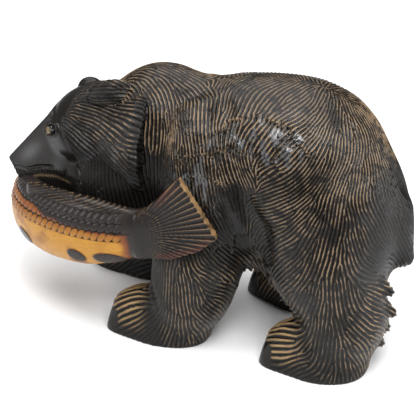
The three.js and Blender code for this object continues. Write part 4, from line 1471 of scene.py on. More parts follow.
    def lids(self, p: np.ndarray) -> np.ndarray:
        """Raises the lids around the eyes, and sinks the wood inside them.

        Args:
            p: Points on the skin.

        Returns:
            The height to add at each, in millimetres.
        """
        height = np.zeros(len(p))
        for ball in self.eyes:
            reach = self.around(ball, p)
            height += 1.9 * ridge_along(reach - 1.16, 0.16) * (reach < 3) - 0.8 * eased(reach, 1, 0.7)
        return height

    def under_mouth(self, p: np.ndarray) -> np.ndarray:
        """Gives how far each point lies under the line of the mouth."""
        mouth = np.array(self.mouth)
        return np.interp(p[:, 0], mouth[:, 0], mouth[:, 1]) - p[:, 2]

    def pale(self, p: np.ndarray) -> np.ndarray:
        """Finds the bare wood at the front corner of each eye and along the edge of the lower lip.

        Args:
            p: Points on the skin.

        Returns:
            How bare each is, from 0 to 1.
        """
        bare = np.zeros(len(p))
        for ball in self.eyes:
            reach = self.around(ball, p)
            corner = eased(ball.at[0] - p[:, 0], 4, 6) * eased(ball.at[2] - p[:, 2], -1, 1)
            bare = np.maximum(bare, eased(reach, 1.05, 0.9) * corner)
        edge = 0.7 * ridge_along(9.5 - self.under_mouth(p), 1.3)
        return np.maximum(bare, edge * eased(p[:, 0], -186, -178) * eased(p[:, 0], -128, -136))

    def around(self, ball: Egg, p: np.ndarray) -> np.ndarray:
        """Measures points from an eye, in widths of its opening.

        Args:
            ball: The eye.
            p: Points on the skin.

        Returns:
            The distance of each, 1 on the opening's edge.
        """
        side = math.copysign(1, ball.at[1])
        x, z, y = p[:, 0] - ball.at[0], p[:, 2] - ball.at[2], (p[:, 1] - ball.at[1]) * side
        c, s = math.cos(math.radians(self.slant)), math.sin(math.radians(self.slant))
        along, across = x * c + z * s, z * c - x * s
        ahead, back, high = self.opening
        along = np.where(along < 0, along / ahead, along / back)
        return np.sqrt(along**2 + (across / high) ** 2 + (np.minimum(y + 12, 0) / 4) ** 2)

    def facts(self, p: np.ndarray) -> dict[str, np.ndarray]:
        """Notes what kind of wood each point is on.

        Args:
            p: Points on the skin.

        Returns:
            Shares from 0 to 1, by name. The head has no toes, and its strokes aren't cut in tiers.
        """
        behind = self.behind(p)
        coat = eased(behind, 0, 4) * (1 - 0.5 * eased(p[:, 2], 226, 236) * eased(p[:, 0], -100, -116))
        lip = eased(self.under_mouth(p), 2, 3.5) * eased(p[:, 0], -210, -205)
        coat = np.maximum(coat, 0.8 * lip * eased(behind, 4, 0))
        coat = coat * eased(self.ears()[0](p), 0.5, 3)
        # painted sheen: a light grey band along the muzzle from the nose towards the eye, and glints on the lower
        # cheek, where the finish is also glossier
        ahead = p[:, 0] + 184
        muzzle = np.exp(-((ahead / 15) ** 2) - ((p[:, 2] - 160 - 0.7 * ahead) / 10) ** 2)
        cheek = self.cheek_sheen(p) * eased(mottled(p, 9, 8), 0.45, 0.65)
        return {
            "coat": coat,
            "toe": np.zeros(len(p)),
            "gloss_and_painted_sheen": 0.6 * muzzle * eased(behind, 0, -8) + 0.6 * cheek,
            "step": np.zeros(len(p)),
            "pale": self.pale(p),
        }

    def rubbing_and_shade(self, p: np.ndarray) -> np.ndarray:
        """Finds how much the ridges are rubbed: much on the crown, and not at all under the cheek, whose darkness is
        painted shade, as is the dimmer laid-back near ear.

        Args:
            p: Points on the skin.

        Returns:
            A share from 0 to 1 for each.
        """
        # painted shade: nearly no brown low under the cheek, and less on the laid-back near ear
        high = eased(p[:, 2] + 0.25 * (p[:, 0] + 100), 178, 214)
        brow = eased(p[:, 0], -104, -118)
        return (0.06 + 0.66 * high) * eased(p[:, 0], -46, -58) * (1 - 0.75 * self.shaded_ear(p)) * (1 - 0.3 * brow)

    def build(self, trunk: Form, salmon: Form, wood: bpy.types.Material) -> bpy.types.Object:
        """Builds the head's piece and dresses it.

        Args:
            trunk: The trunk, which hides what lies deep inside it.
            salmon: The salmon, which hides what lies deep inside it.
            wood: The stained finish.

        Returns:
            The piece.
        """
        skin = self.skin(trunk, salmon)
        piece = piece_of("bear_head", skin, self.triangles, wood)
        at = points_of(piece)
        noted(piece, carried(skin, at, FUR_FACTS) | {"rub_and_shade": self.rubbing_and_shade(at)})
        return piece


@dataclass(frozen=True)
class Eye:
    """One polished eye, a ball that sits in its socket."""

    name: str
    ball: Egg

    def build(self, polish: bpy.types.Material) -> bpy.types.Object:
        """Builds the eye's piece and dresses it.

        Args:
            polish: The eyes' finish.

        Returns:
            The piece.
        """
        bpy.ops.mesh.primitive_ico_sphere_add(subdivisions=5, radius=1)
        piece = bpy.context.object
        piece.name = piece.data.name = self.name
        at = np.zeros(len(piece.data.vertices) * 3, np.float32)
        piece.data.vertices.foreach_get("co", at)
        at = (at.reshape(-1, 3) * self.ball.half + np.array(self.ball.at) + TO_FRAME) * MILLIMETRE
        piece.data.vertices.foreach_set("co", at.astype(np.float32).ravel())
        piece.data.polygons.foreach_set("use_smooth", np.ones(len(piece.data.polygons), bool))
        piece.data.materials.append(polish)
        return piece


@dataclass(frozen=True)
class Station:
    """A place along the salmon: its middle, half height up and down, and half thickness."""

    at: Spot
    up: float
    down: float
    half: float


@dataclass
class Salmon:
    """The salmon that the bear holds in its jaws, with its fins and its tail fan.

    It is drawn from tail root to head in a number of steps. The gill cover's place is a share of its length. A
    scale's length, a row's height and the height of the scales' relief are in millimetres, and the rays are counted
    all the way round the fan's root. The fan's outline and the belly's dark fins are given in the side view, each
    dark fin as its middle, its reach and its lean. The fan's rear edge runs between the fourth and the fifth corner
    of its outline. The fin on the back is given as its root, its tip and half its width.
    """

    coarse: float
    cell: float = 0.95
    block: tuple[Spot, Spot] = ((-226, -118, 56), (54, 110, 206))
    triangles: int = 170_000
    steps: int = 48
    gill: float = 0.72
    scale: float = 7.7
    row: float = 9.4
    scale_high: float = 2.1
    fan_y: float = -91
    fan_half: float = 5
    fan_root: Flat = (-46, 128)
    rays: int = 84
    fan: tuple[Flat, ...] = ((-36, 106), (-4, 108), (24, 122), (43, 139), (5, 196), (-34, 152))
    back_fin: tuple[Place, Place, float] = ((0.46, 0.86), (0.3, 0.96), 9)
    eye: Place = (0.86, 0.35)
    eyeball: Spot = (5, 5, 5)
    dark_fins: tuple[tuple[Flat, Flat, float], ...] = (
        ((-103, 93), (11, 8), 0.3),
        ((-66, 98), (18, 8), 0.2),
        ((-174, 86), (10, 9), 0.5),
    )
    stations: tuple[Station, ...] = (
        Station((-24, -88, 131), 21, 22, 9),
        Station((-60, -87, 124), 29, 31, 15),
        Station((-96, -80, 117), 36, 38, 18),
        Station((-136, -65, 110), 37, 38, 20),
        Station((-170, -42, 103), 36, 34, 20),
        Station((-192, -10, 98), 33, 34, 20),
        Station((-196, 26, 99), 32, 32, 20),
        Station((-184, 60, 104), 27, 27, 18),
        Station((-163, 84, 110), 13, 14, 10),
    )

    def __post_init__(self) -> None:
        """Draws the salmon's middle line through its stations."""
        middles = np.array([s.at for s in self.stations], float)
        widths = np.array([(s.up, s.down, s.half) for s in self.stations], float)
        self.line = through(middles, self.steps)
        self.widths = through(widths, self.steps)
        runs = np.linalg.norm(np.diff(self.line[:, :2], axis=0), axis=1)
        self.runs = np.concatenate([[0], np.cumsum(runs)])
        self.length = float(self.runs[-1])

    def measured(self, p: np.ndarray) -> dict[str, np.ndarray]:
        """Gives points in the salmon's own measure.

        Args:
            p: The points.

        Returns:
            How far along from the tail root each is, out from the middle line, up from it, and past its ends,
            with the salmon's half height and half thickness there.
        """
        best = np.full(len(p), np.inf)
        out = {k: np.zeros(len(p)) for k in ("along", "across", "past", "rise", "up", "down", "half")}
        for i in range(self.steps):
            a, b = self.line[i], self.line[i + 1]
            e = b[:2] - a[:2]
            step = math.hypot(*e)
            share = ((p[:, :2] - a[:2]) @ e) / step**2
            t = np.clip(share, 0, 1)
            d = p[:, :2] - a[:2] - t[:, None] * e
            far = (d * d).sum(1)
            closer = far < best
            best[closer] = far[closer]
            t, d, share = t[closer], d[closer], share[closer]
            up, down, half = (self.widths[i] + (self.widths[i + 1] - self.widths[i]) * t[:, None]).T
            out["along"][closer] = self.runs[i] + t * step
            out["across"][closer] = (d[:, 0] * e[1] - d[:, 1] * e[0]) / step
            out["past"][closer] = (share - t) * step
            out["rise"][closer] = p[closer, 2] - (a[2] + (b[2] - a[2]) * t)
            out["up"][closer], out["down"][closer], out["half"][closer] = up, down, half
        return out

    def marks(self, s: dict[str, np.ndarray]) -> dict[str, np.ndarray]:
        """Finds the scales, the gill cover and the lips at places on the salmon.

        Args:
            s: The places in the salmon's own measure.

        Returns:
            Each place's share of the length, its row of scales, how scaly it is, the height of its scale, and
            the depth of the engraved lines.
        """
        level = s["rise"] / np.where(s["rise"] > 0, s["up"], s["down"])
        share = s["along"] / self.length
        line = s["rise"] - 5 - 11 * eased(share, 0.05, 0.6)
        v = line / self.row
        row = np.floor(v)
        u = (s["along"] + 0.45 * s["rise"]) / self.scale + 0.5 * (row % 2)
        du = np.abs(2 * (u % 1) - 1)
        dv = 2 * (v % 1) - 1
        dome = np.sqrt(np.clip(1 - du**2.6 - np.abs(dv) ** np.where(dv < 0, 2.6, 5), 0, 1)) * (0.75 - 0.33 * dv)
        top = 2 + 3 * eased(share, 0.42, 0.52)
        scaly = eased(v, -1.05, -0.95) * eased(v, top + 0.05, top - 0.05) * (1 - eased(level, 0.86, 0.93))
        scaly = scaly * eased(share, 0.08, 0.1) * (1 - eased(share, self.gill - 0.03, self.gill))
        cover = np.exp(-(((share - self.gill - 0.03 * level * level) * self.length) ** 2) / 3)
        lips = np.where(share > 0.86, ridge_along(s["rise"] + 3, 1.6), 0)
        groove = 0.6 * ridge_along(line, 0.7) * eased(share, 0.05, 0.08) * (1 - eased(share, 0.68, 0.7))
        return {"share": share, "row": v, "scaly": scaly, "dome": dome, "lines": cover + lips + groove}

    def body(self, p: np.ndarray) -> np.ndarray:
        """Gives the value of the salmon's body with its scales.

        Args:
            p: Points, in millimetres.

        Returns:
            The value of each, negative inside the wood.
        """
        s = self.measured(p)
        tall = np.where(s["rise"] > 0, s["up"], s["down"])
        u, v, w = s["across"] / s["half"], s["rise"] / tall, s["past"] / s["half"]
        reach = np.sqrt(u * u + v * v + w * w)
        slope = np.sqrt((u / s["half"]) ** 2 + (v / tall) ** 2 + (w / s["half"]) ** 2) + 1e-9
        plain = reach * (reach - 1) / slope
        m = self.marks(s)
        relief = self.scale_high * m["scaly"] * (m["dome"] - 0.5) - 1.7 * m["lines"] + 1.2 * self.spots(p)
        return np.where(np.abs(plain) > 8, plain, plain - relief)

    def spots(self, p: np.ndarray) -> np.ndarray:
        """Finds the dark fins on the belly.

        Args:
            p: Points, in millimetres.

        Returns:
            How much each point belongs to them, from 0 to 1.
        """
        spot = np.zeros(len(p))
        for (x, z), (long, high), lean in self.dark_fins:
            u, v = p[:, 0] - x, p[:, 2] - z
            reach = np.hypot((u + v * lean) / long, (v - u * 0.1) / high)
            spot = np.maximum(spot, eased(reach, 1.15, 0.8) * (p[:, 1] < -20))
        return spot

    def on_side(self, share: float, level: float) -> tuple[Spot, Spot]:
        """Finds a place on the salmon's outer side.

        Args:
            share: The place's share of the length.
            level: Its height, from -1 at the belly to 1 at the back.

        Returns:
            The place, and the direction out of the side.
        """
        i = min(self.steps - 1, int(share * self.steps))
        a, b = self.line[i], self.line[i + 1]
        step = math.hypot(b[0] - a[0], b[1] - a[1])
        out = ((a[1] - b[1]) / step, (b[0] - a[0]) / step, 0.0)
        up, down, half = self.widths[i]
        wide = half * math.sqrt(1 - level * level)
        rise = level * (up if level > 0 else down)
        return (a[0] + out[0] * wide, a[1] + out[1] * wide, a[2] + rise), out

    def fin(self, root: Place, tip: Place, wide: float) -> Form:
        """Gives a fin that lies on the salmon's side, a thin leaf from its root to its tip.

        Args:
            root: The fin's root.
            tip: The fin's tip.
            wide: Half the fin's width, in millimetres.

        Returns:
            The fin.
        """
        start, out = self.on_side(*root)
        end, _ = self.on_side(*tip)
        leaf = Limb(start, end, wide, wide * 0.6, out, 2.6 / wide)
        return Near(between(start, end, 0.5), wide + 20, leaf)

    def ray(self, p: np.ndarray) -> np.ndarray:
        """Gives how high each point stands in the rays of the tail fan, from 0 to 1."""
        turn = np.arctan2(p[:, 2] - self.fan_root[1], p[:, 0] - self.fan_root[0]) / TURN
        return 1 - np.abs((turn * self.rays % 1) * 2 - 1)

    def edge(self, p: np.ndarray) -> np.ndarray:
        """Measures points from the tail fan's outline.

        Args:
            p: Points, in millimetres.

        Returns:
            How far each lies out of the outline, in the side view.
        """
        edge = np.full(len(p), -np.inf)
        for (ax, az), (bx, bz) in zip(self.fan, self.fan[1:] + self.fan[:1]):
            length = math.hypot(bx - ax, bz - az)
            edge = np.maximum(edge, ((p[:, 0] - ax) * (bz - az) - (p[:, 2] - az) * (bx - ax)) / length)
        return edge

    def from_root(self, p: np.ndarray) -> np.ndarray:
        """Measures how far points lie from the tail fan's root, in the side view."""
        return np.hypot(p[:, 2] - self.fan_root[1], p[:, 0] - self.fan_root[0])

    def tail(self, p: np.ndarray) -> np.ndarray:
        """Gives the value of the tail fan, a plate with gouged rays."""
        deep = 1.3 * eased(self.from_root(p), 16, 32) * (1 - self.ray(p) ** 1.6)
        return trimmed(self.edge(p), np.abs(p[:, 1] - self.fan_y) - self.fan_half + deep, 2)

    def form(self) -> Form:
        """Makes the salmon.

        Returns:
            The salmon as one form.
        """
        eye = Egg(self.on_side(*self.eye)[0], self.eyeball)
        tail = Near((0, self.fan_y, 150), 70, self.tail)
        return Joined(((self.body, 0), (tail, 10), (self.fin(*self.back_fin), 2), (eye, 1)))

    def facts(self, p: np.ndarray) -> dict[str, np.ndarray]:
        """Notes the colour and the marks at each point.

        Args:
            p: Points on the skin.

        Returns:
            Shares from 0 to 1, by name.
        """
        s = self.measured(p)
        m = self.marks(s)
        share, row, dome = m["share"], m["row"], m["dome"]
        front = eased(share, 0.16, 0.62)
        soft = mottled(p, 14, 1) * 0.5 - 0.25
        gold = np.interp(row + soft * 0.5, [-1.4, -0.9, 0, 0.3], [1, 0.72, 0.5, 0.5])
        gold = np.minimum(gold, eased(row + soft, 0.1 + 1.3 * front, -0.8 + 1.4 * front) + 0.5 * (row < -0.2))
        gold = gold - 0.4 * m["scaly"] * eased(dome, 0.8, 1.1) + 0.5 * m["lines"] * (share < 0.7) * (row > -0.5)
        gold = np.clip(gold, 0, 1) * eased(share, 0.05, 0.11) * (s["past"] > -1) * (1 - 0.6 * eased(share, 0.72, 0.8))
        streak = self.spots(p)
        gold = gold * (1 - streak)
        fan = eased(p[:, 0] + 0.3 * (p[:, 2] - 130), -48, -34) * (p[:, 1] < -60)
        ray = 0.6 + (self.ray(p) - 0.6) * eased(self.from_root(p), 14, 26)
        back = eased(row, 1.9, 2.3) * (1 - fan) * (share < 0.5)
        lines = 1 - np.abs(((s["rise"] * 1.25 + s["along"] * 0.3) / 3.4 % 1) * 2 - 1)
        other = np.maximum(back, streak) * (1 - m["scaly"])
        (x0, z0), (x1, z1) = self.fan[3:5]
        rear = ((p[:, 0] - x0) * (z1 - z0) + (p[:, 2] - z0) * (x0 - x1)) / math.hypot(z1 - z0, x0 - x1)
        rim = eased(rear + 1.6 * mottled(p, 5, 11), -0.2, 1.2) * fan
        red = eased(self.edge(p), -9, -4) * eased(rear, -4, -9) * eased(p[:, 0], -22, -12) * fan
        return {
            "gold": gold,
            "scaly": m["scaly"] * (1 - fan),
            "dome": dome,
            "fan": np.maximum(fan, other),
            "ray": np.where(fan > other, ray, lines),
            "rim": rim,
            "red": red,
        }

    def build(self, trunk: Form, head: Form, wood: bpy.types.Material) -> bpy.types.Object:
        """Builds the salmon's piece and dresses it.

        Args:
            trunk: The trunk, which hides what lies deep inside it.
            head: The head, which hides what lies deep inside it.
            wood: The salmon's finish.

        Returns:
            The piece.
        """
        skin = Block(*self.block, self.cell * self.coarse).skin(self.form()).without(trunk, head)
        piece = piece_of("salmon", skin, self.triangles, wood)
        noted(piece, self.facts(points_of(piece)))
        return piece


def through(points: np.ndarray, steps: int) -> np.ndarray:
    """Draws a smooth centripetal curve through points.

    Args:
        points: The points, one a row.
        steps: How many equal shares to cut the curve into.

    Returns:
        The places at the ends of those shares.
    """
    spots = np.concatenate([[2 * points[0] - points[1]], points, [2 * points[-1] - points[-2]]])
    out = []
    for k in range(steps + 1):
        place = k / steps * (len(points) - 1)
        i = min(int(place), len(points) - 2)
        t = place - i
        p0, p1, p2, p3 = spots[i : i + 4]
        d0, d1, d2 = (math.sqrt(float(np.linalg.norm(b - a))) or 1 for a, b in ((p0, p1), (p1, p2), (p2, p3)))
        t1 = ((p1 - p0) / d0 - (p2 - p0) / (d0 + d1) + (p2 - p1) / d1) * d1
        t2 = ((p2 - p1) / d1 - (p3 - p1) / (d1 + d2) + (p3 - p2) / d2) * d1
        c2, c3 = -3 * p1 + 3 * p2 - 2 * t1 - t2, 2 * p1 - 2 * p2 + t1 + t2
        out.append(p1 + t1 * t + c2 * t**2 + c3 * t**3)
    return np.array(out)


# Finishes


def tint(colour: Rgb, share: float = 1) -> tuple[float, float, float, float]:
    """Gives a colour as the shader wants it.

    Args:
        colour: The colour, as the values of a picture from 0 to 255.
        share: How much of each value to take, for a darker or a lighter colour.

    Returns:
        Red, green, blue and alpha, from 0 to 1.
    """
    values = (int(c * share) for c in colour)
    return (*(((c / 255 + 0.055) / 1.055) ** 2.4 if c > 10 else c / 3295 for c in values), 1.0)


@dataclass
class Mixer:
    """A new material of a given name, with short ways to add to its node tree."""

    name: str

    def __post_init__(self) -> None:
        """Makes the material with its shader."""
        self.material = bpy.data.materials.new(self.name)
        self.material.use_nodes = True
        self.shader = self.material.node_tree.nodes["Principled BSDF"]

    def add(self, kind: str, **settings: object) -> bpy.types.Node:
        """Adds a node.

        Args:
            kind: The node's type.
            settings: The properties to set, by name.

        Returns:
            The node.
        """
        node = self.material.node_tree.nodes.new(kind)
        for name, value in settings.items():
            setattr(node, name, value)
        return node

    def put(self, value: object, target: bpy.types.NodeSocket) -> None:
        """Joins a socket to the target, or sets the target to a plain value.

        Args:
            value: The socket or the plain value.
            target: The input that takes it.
        """
        if isinstance(value, bpy.types.NodeSocket):
            self.material.node_tree.links.new(value, target)
        else:
            target.default_value = value

    def give(self, name: str, value: object) -> None:
        """Puts a socket or a plain value into one of the shader's inputs."""
        self.put(value, self.shader.inputs[name])

    def fact(self, name: str) -> bpy.types.NodeSocket:
        """Reads one of the facts that the gouge left on the points."""
        return self.add("ShaderNodeAttribute", attribute_name=name).outputs["Fac"]

    def noise(self, scale: float, detail: float = 3, stretch: Spot = (1, 1, 1)) -> bpy.types.NodeSocket:
        """Adds soft noise in the wood's own axes.

        Args:
            scale: How fine the noise is, in turns a metre.
            detail: How many finer layers it has.
            stretch: The scale along each axis.

        Returns:
            The noise, from 0 to 1.
        """
        mapping = self.add("ShaderNodeMapping")
        self.put(stretch, mapping.inputs["Scale"])
        self.put(self.add("ShaderNodeTexCoord").outputs["Object"], mapping.inputs["Vector"])
        noise = self.add("ShaderNodeTexNoise")
        self.put(scale, noise.inputs["Scale"])
        self.put(detail, noise.inputs["Detail"])
        self.put(mapping.outputs[0], noise.inputs["Vector"])
        return noise.outputs["Fac"]

    def math(self, operation: str, a: object, b: object) -> bpy.types.NodeSocket:
        """Adds one sum of two values.

        Args:
            operation: The sum's name.
            a: The first value.
            b: The second value.

        Returns:
            The result, clamped to run from 0 to 1.
        """
        node = self.add("ShaderNodeMath", operation=operation, use_clamp=True)
        self.put(a, node.inputs[0])
        self.put(b, node.inputs[1])
        return node.outputs[0]

    def times(self, first: object, *others: object) -> bpy.types.NodeSocket:
        """Multiplies values, each result clamped to run from 0 to 1.

        Args:
            first: The first value.
            others: The other values.

        Returns:
            The result.
        """
        for other in others:
            first = self.math("MULTIPLY", first, other)
        return first

    def span(self, value: object, low: float, high: float, bottom: float = 0, top: float = 1) -> bpy.types.NodeSocket:
        """Maps a value from one span to another, smoothly and without leaving it.

        Args:
            value: The value.
            low: Where the first span begins.
            high: Where the first span ends.
            bottom: Where the second span begins.
            top: Where the second span ends.

        Returns:
            The result.
        """
        node = self.add("ShaderNodeMapRange", interpolation_type="SMOOTHSTEP")
        self.put(value, node.inputs["Value"])
        for name, number in zip(("From Min", "From Max", "To Min", "To Max"), (low, high, bottom, top)):
            self.put(number, node.inputs[name])
        return node.outputs["Result"]

    def mix(self, share: object, a: object, b: object) -> bpy.types.NodeSocket:
        """Mixes two colours.

        Args:
            share: How much of the second colour to take, from 0 to 1.
            a: The first colour.
            b: The second colour.

        Returns:
            The mixed colour.
        """
        node = self.add("ShaderNodeMix", data_type="RGBA")
        for value, place in ((share, 0), (a, 6), (b, 7)):  # the sockets that a colour mix uses
            self.put(value, node.inputs[place])
        return node.outputs[2]

    def fibres(self, strength: float = 0.25, height: float = 0.0006) -> bpy.types.NodeSocket:
        """Roughens the surface with the wood's fine fibres.

        Args:
            strength: How strongly they show.
            height: How high they stand, in metres.

        Returns:
            The surface's normal.
        """
        node = self.add("ShaderNodeBump")
        self.put(strength, node.inputs["Strength"])
        self.put(height, node.inputs["Distance"])
        self.put(self.noise(260, 3, (0.4, 1.6, 1.6)), node.inputs["Height"])
        return node.outputs["Normal"]


@dataclass(frozen=True)
class StainedWood:
    """Wood stained nearly black, rubbed back to brown along the ridges, with painted shade in its gouge floors and a
    painted grey sheen on its glossy patches.
    """

    name: str = "stained_wood"
    charcoal: Rgb = (27, 24, 22)
    # painted shade: near black for the floors of the gouge strokes and under the tiers' ledges
    floor: Rgb = (5, 4, 4)
    rubbed: Rgb = (121, 102, 80)
    toes: Rgb = (162, 134, 94)
    # painted sheen: the light grey that the glossy patches, the muzzle and the lower cheek show
    painted_sheen: Rgb = (74, 72, 72)

    def build(self) -> bpy.types.Material:
        """Makes the finish.

        Returns:
            The material.
        """
        m = Mixer(self.name)
        ridge, coat, gloss_and_painted_sheen, tier = (m.fact(name) for name in ("ridge", "coat", "gloss_and_painted_sheen", "tier"))
        patch, fine, grain = m.noise(34, 3), m.noise(420, 2), m.noise(60, 3, (1, 9, 9))
        plain = m.mix(m.span(grain, 0.3, 0.7), tint(self.charcoal), tint(self.charcoal, 0.8))
        # painted sheen: the ridges of the glossy patches turn light grey
        plain = m.mix(m.times(gloss_and_painted_sheen, m.span(ridge, 0.3, 0.6, 0.25, 1)), plain, tint(self.painted_sheen))
        # painted shade: the strokes' floors, and the wood tucked under each tier's ledge, darken to near black
        deep = m.math("MAXIMUM", m.span(ridge, 0.62, 0.1), m.span(tier, 0.14, 0.02))
        dark = m.mix(m.times(deep, coat), plain, tint(self.floor))
        rub_and_shade = m.times(
            m.fact("rub_and_shade"),
            m.span(patch, 0.3, 0.62, 0.5, 1.0),
            m.span(gloss_and_painted_sheen, 0, 1, 1.0, 0.25),
            m.span(m.noise(110, 2), 0.36, 0.6, 0.4, 1.0),
            m.span(fine, 0.25, 0.6, 0.6, 1.0),
        )
        high = m.times(ridge, m.span(rub_and_shade, 0, 1, 0.8, 1.12))
        top = m.times(m.span(high, 0.56, 0.9), coat, m.span(tier, 0.05, 0.4), m.span(rub_and_shade, 0.05, 0.6))
        colour = m.mix(top, dark, tint(self.rubbed))
        toe = m.times(m.fact("toe"), m.span(ridge, 0.4, 0.8, 0, 0.85), m.span(coat, 0.2, 0.9))
        colour = m.mix(m.times(toe, m.span(patch, 0.25, 0.6, 0.5, 1.0)), colour, tint(self.toes))
        m.give("Base Color", m.mix(m.fact("pale"), colour, tint(self.rubbed)))
        uneven = m.math("ADD", m.times(patch, 0.6), m.times(fine, 0.4))
        smooth = m.math("MAXIMUM", gloss_and_painted_sheen, m.span(coat, 0.5, 0, 0, 0.8))
        m.give("Roughness", m.math("SUBTRACT", m.span(uneven, 0.3, 0.7, 0.26, 0.46), m.times(smooth, 0.1)))
        m.give("Specular IOR Level", m.span(gloss_and_painted_sheen, 0, 1, 0.22, 0.75))
        m.give("Normal", m.fibres())
        return m.material


@dataclass(frozen=True)
class SalmonWood:
    """The salmon's finish: bare golden wood below, stained dark above and on its fins, with painted shade in the gaps
    between its scales and between the rays of its tail fan.
    """

    name: str = "salmon_wood"
    charcoal: Rgb = (40, 35, 33)
    # painted shade: near black for the gaps between scales and the valleys between the fan's rays
    floor: Rgb = (14, 11, 10)
    gold: Rgb = (182, 130, 44)
    fan: Rgb = (28, 24, 23)
    brown: Rgb = (116, 62, 28)
    rubbed: Rgb = (134, 106, 72)
    red: Rgb = (66, 34, 28)
    shine: float = 0.22

    def build(self) -> bpy.types.Material:
        """Makes the finish.

        Returns:
            The material.
        """
        m = Mixer(self.name)
        gold, ray, fan = m.fact("gold"), m.fact("ray"), m.fact("fan")
        patch, grain = m.noise(40, 4), m.noise(90, 3, (1, 6, 6))
        bare = m.mix(m.span(grain, 0.35, 0.65), tint(self.gold), tint(self.gold, 0.93))
        bare = m.mix(m.span(patch, 0.44, 0.74), bare, tint(self.brown))
        colour = m.mix(m.span(gold, 0.05, 0.45), tint(self.charcoal), tint(self.brown))
        colour = m.mix(m.span(gold, 0.35, 0.95), colour, bare)
        # painted shade: the gaps between the scales darken to near black
        gap = m.times(m.fact("scaly"), m.span(m.fact("dome"), 0.5, 0.1))
        colour = m.mix(gap, colour, tint(self.floor))
        colour = m.mix(fan, colour, tint(self.fan))
        colour = m.mix(m.times(m.fact("red"), 0.8), colour, tint(self.red))
        # painted shade: the valleys between the rays and engraved lines of the dark parts darken to near black
        colour = m.mix(m.times(fan, m.span(ray, 0.5, 0.15)), colour, tint(self.floor))
        colour = m.mix(m.times(fan, m.span(ray, 0.74, 0.95, 0, 0.75)), colour, tint(self.rubbed))
        colour = m.mix(m.times(m.fact("rim"), m.span(patch, 0.3, 0.5)), colour, tint(self.rubbed))
        m.give("Base Color", colour)
        m.give("Roughness", m.span(patch, 0.3, 0.7, 0.26, 0.42))
        m.give("Specular IOR Level", self.shine)
        m.give("Normal", m.fibres())
        return m.material


@dataclass(frozen=True)
class PolishedEye:
    """The eyes' finish, polished until it shines."""

    name: str = "polished_eye"
    colour: Rgb = (20, 16, 14)
    roughness: float = 0.12

    def build(self) -> bpy.types.Material:
        """Makes the finish.

        Returns:
            The material.
        """
        m = Mixer(self.name)
        m.give("Base Color", m.mix(m.noise(220, 2), tint(self.colour), tint(self.colour, 1.5)))
        m.give("Roughness", self.roughness)
        return m.material


@dataclass(frozen=True)
class Paper:
    """The plain paper under the carving."""

    name: str = "studio_paper"
    colours: tuple[Rgb, Rgb] = ((238, 238, 239), (243, 243, 243))
    roughness: float = 0.9

    def build(self) -> bpy.types.Material:
        """Makes the finish.

        Returns:
            The material.
        """
        m = Mixer(self.name)
        m.give("Base Color", m.mix(m.noise(3, 2), *(tint(colour) for colour in self.colours)))
        m.give("Roughness", self.roughness)
        return m.material


# The studio


@dataclass(frozen=True)
class Lamp:
    """One soft square light: its place and its side's length in metres, and its power in watts."""

    name: str
    at: Spot
    size: float
    power: float

    def hang(self, target: Spot) -> None:
        """Hangs the lamp so that it faces a place.

        Args:
            target: The place, in metres.
        """
        data = bpy.data.lights.new(self.name, "AREA")
        data.size = self.size
        data.energy = self.power
        lamp = bpy.data.objects.new(self.name, data)
        lamp.location = self.at
        lamp.rotation_euler = (Vector(target) - Vector(self.at)).to_track_quat("-Z", "Y").to_euler()
        bpy.context.scene.collection.objects.link(lamp)


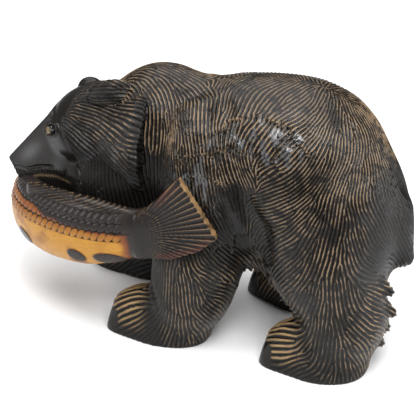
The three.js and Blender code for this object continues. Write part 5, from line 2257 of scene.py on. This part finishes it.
@dataclass(frozen=True)
class Studio:
    """A pale floor, soft lights and the camera at the photograph's angle.

    The target, the distance, the floor's side and its drop under the soles are in metres. The camera's turn round
    the carving, its rise over the floor and its view across are in degrees.
    """

    target: Spot = (0.0029, 0.0039, 0.118)
    turn: float = 20
    rise: float = 28
    distance: float = 1.5
    view: float = 15.8
    floor: float = 12
    drop: float = 0.0004
    lamps: tuple[Lamp, ...] = (
        Lamp("key_light", (0.5, -0.8, 1.5), 0.8, 30),
        Lamp("top_light", (-0.3, 0.3, 2.0), 2.4, 57),
        Lamp("side_light", (-1.3, -0.8, 0.8), 0.5, 8),
        Lamp("rump_light", (1.4, 0.15, 0.4), 0.9, 12),
    )
    sky: float = 0.15

    def build(self) -> None:
        """Builds the floor, the lights and the camera."""
        bpy.ops.mesh.primitive_plane_add(size=self.floor, location=(0, 0, -self.drop))
        floor = bpy.context.object
        floor.name = "studio_floor"
        floor.data.materials.append(Paper().build())
        for lamp in self.lamps:
            lamp.hang(self.target)
        world = bpy.data.worlds.new("studio_air")
        world.use_nodes = True
        background = world.node_tree.nodes["Background"]
        background.inputs["Color"].default_value = (1, 1, 1, 1)
        background.inputs["Strength"].default_value = self.sky
        bpy.context.scene.world = world
        bpy.context.scene.view_settings.view_transform = "Standard"
        self.camera()

    def camera(self) -> None:
        """Sets the camera up at the photograph's angle."""
        turn, rise = math.radians(self.turn), math.radians(self.rise)
        ahead = Vector((-math.sin(turn) * math.cos(rise), math.cos(turn) * math.cos(rise), -math.sin(rise)))
        data = bpy.data.cameras.new("camera")
        data.sensor_fit = "HORIZONTAL"
        data.angle = math.radians(self.view)
        camera = bpy.data.objects.new("camera", data)
        camera.location = Vector(self.target) - ahead * self.distance
        camera.rotation_euler = ahead.to_track_quat("-Z", "Y").to_euler()
        bpy.context.scene.collection.objects.link(camera)
        bpy.context.scene.camera = camera


def settle(piece: bpy.types.Object) -> None:
    """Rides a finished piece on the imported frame, in place of its solid.

    Args:
        piece: The piece.
    """
    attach(piece, "root")
    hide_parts(CAD_NODE)
    log.info("%s: %d triangles", piece.name, len(piece.data.polygons))


def main() -> None:
    """Builds the carving and its studio."""
    logging.basicConfig(level=logging.INFO, format="%(message)s")
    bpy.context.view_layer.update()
    coarse = 1.0
    trunk, head, salmon = Trunk(coarse), Head(coarse), Salmon(coarse)
    forms = {"trunk": trunk.form(), "head": head.form(), "salmon": salmon.form()}
    wood = StainedWood().build()
    settle(trunk.build(forms["head"], forms["salmon"], wood))
    settle(head.build(forms["trunk"], forms["salmon"], wood))
    settle(salmon.build(forms["trunk"], forms["head"], SalmonWood().build()))
    polish = PolishedEye().build()
    for name, ball in zip(("near_eye", "far_eye"), head.eyes):
        settle(Eye(name, ball).build(polish))

    Studio().build()


if __name__ == "__main__":
    main()
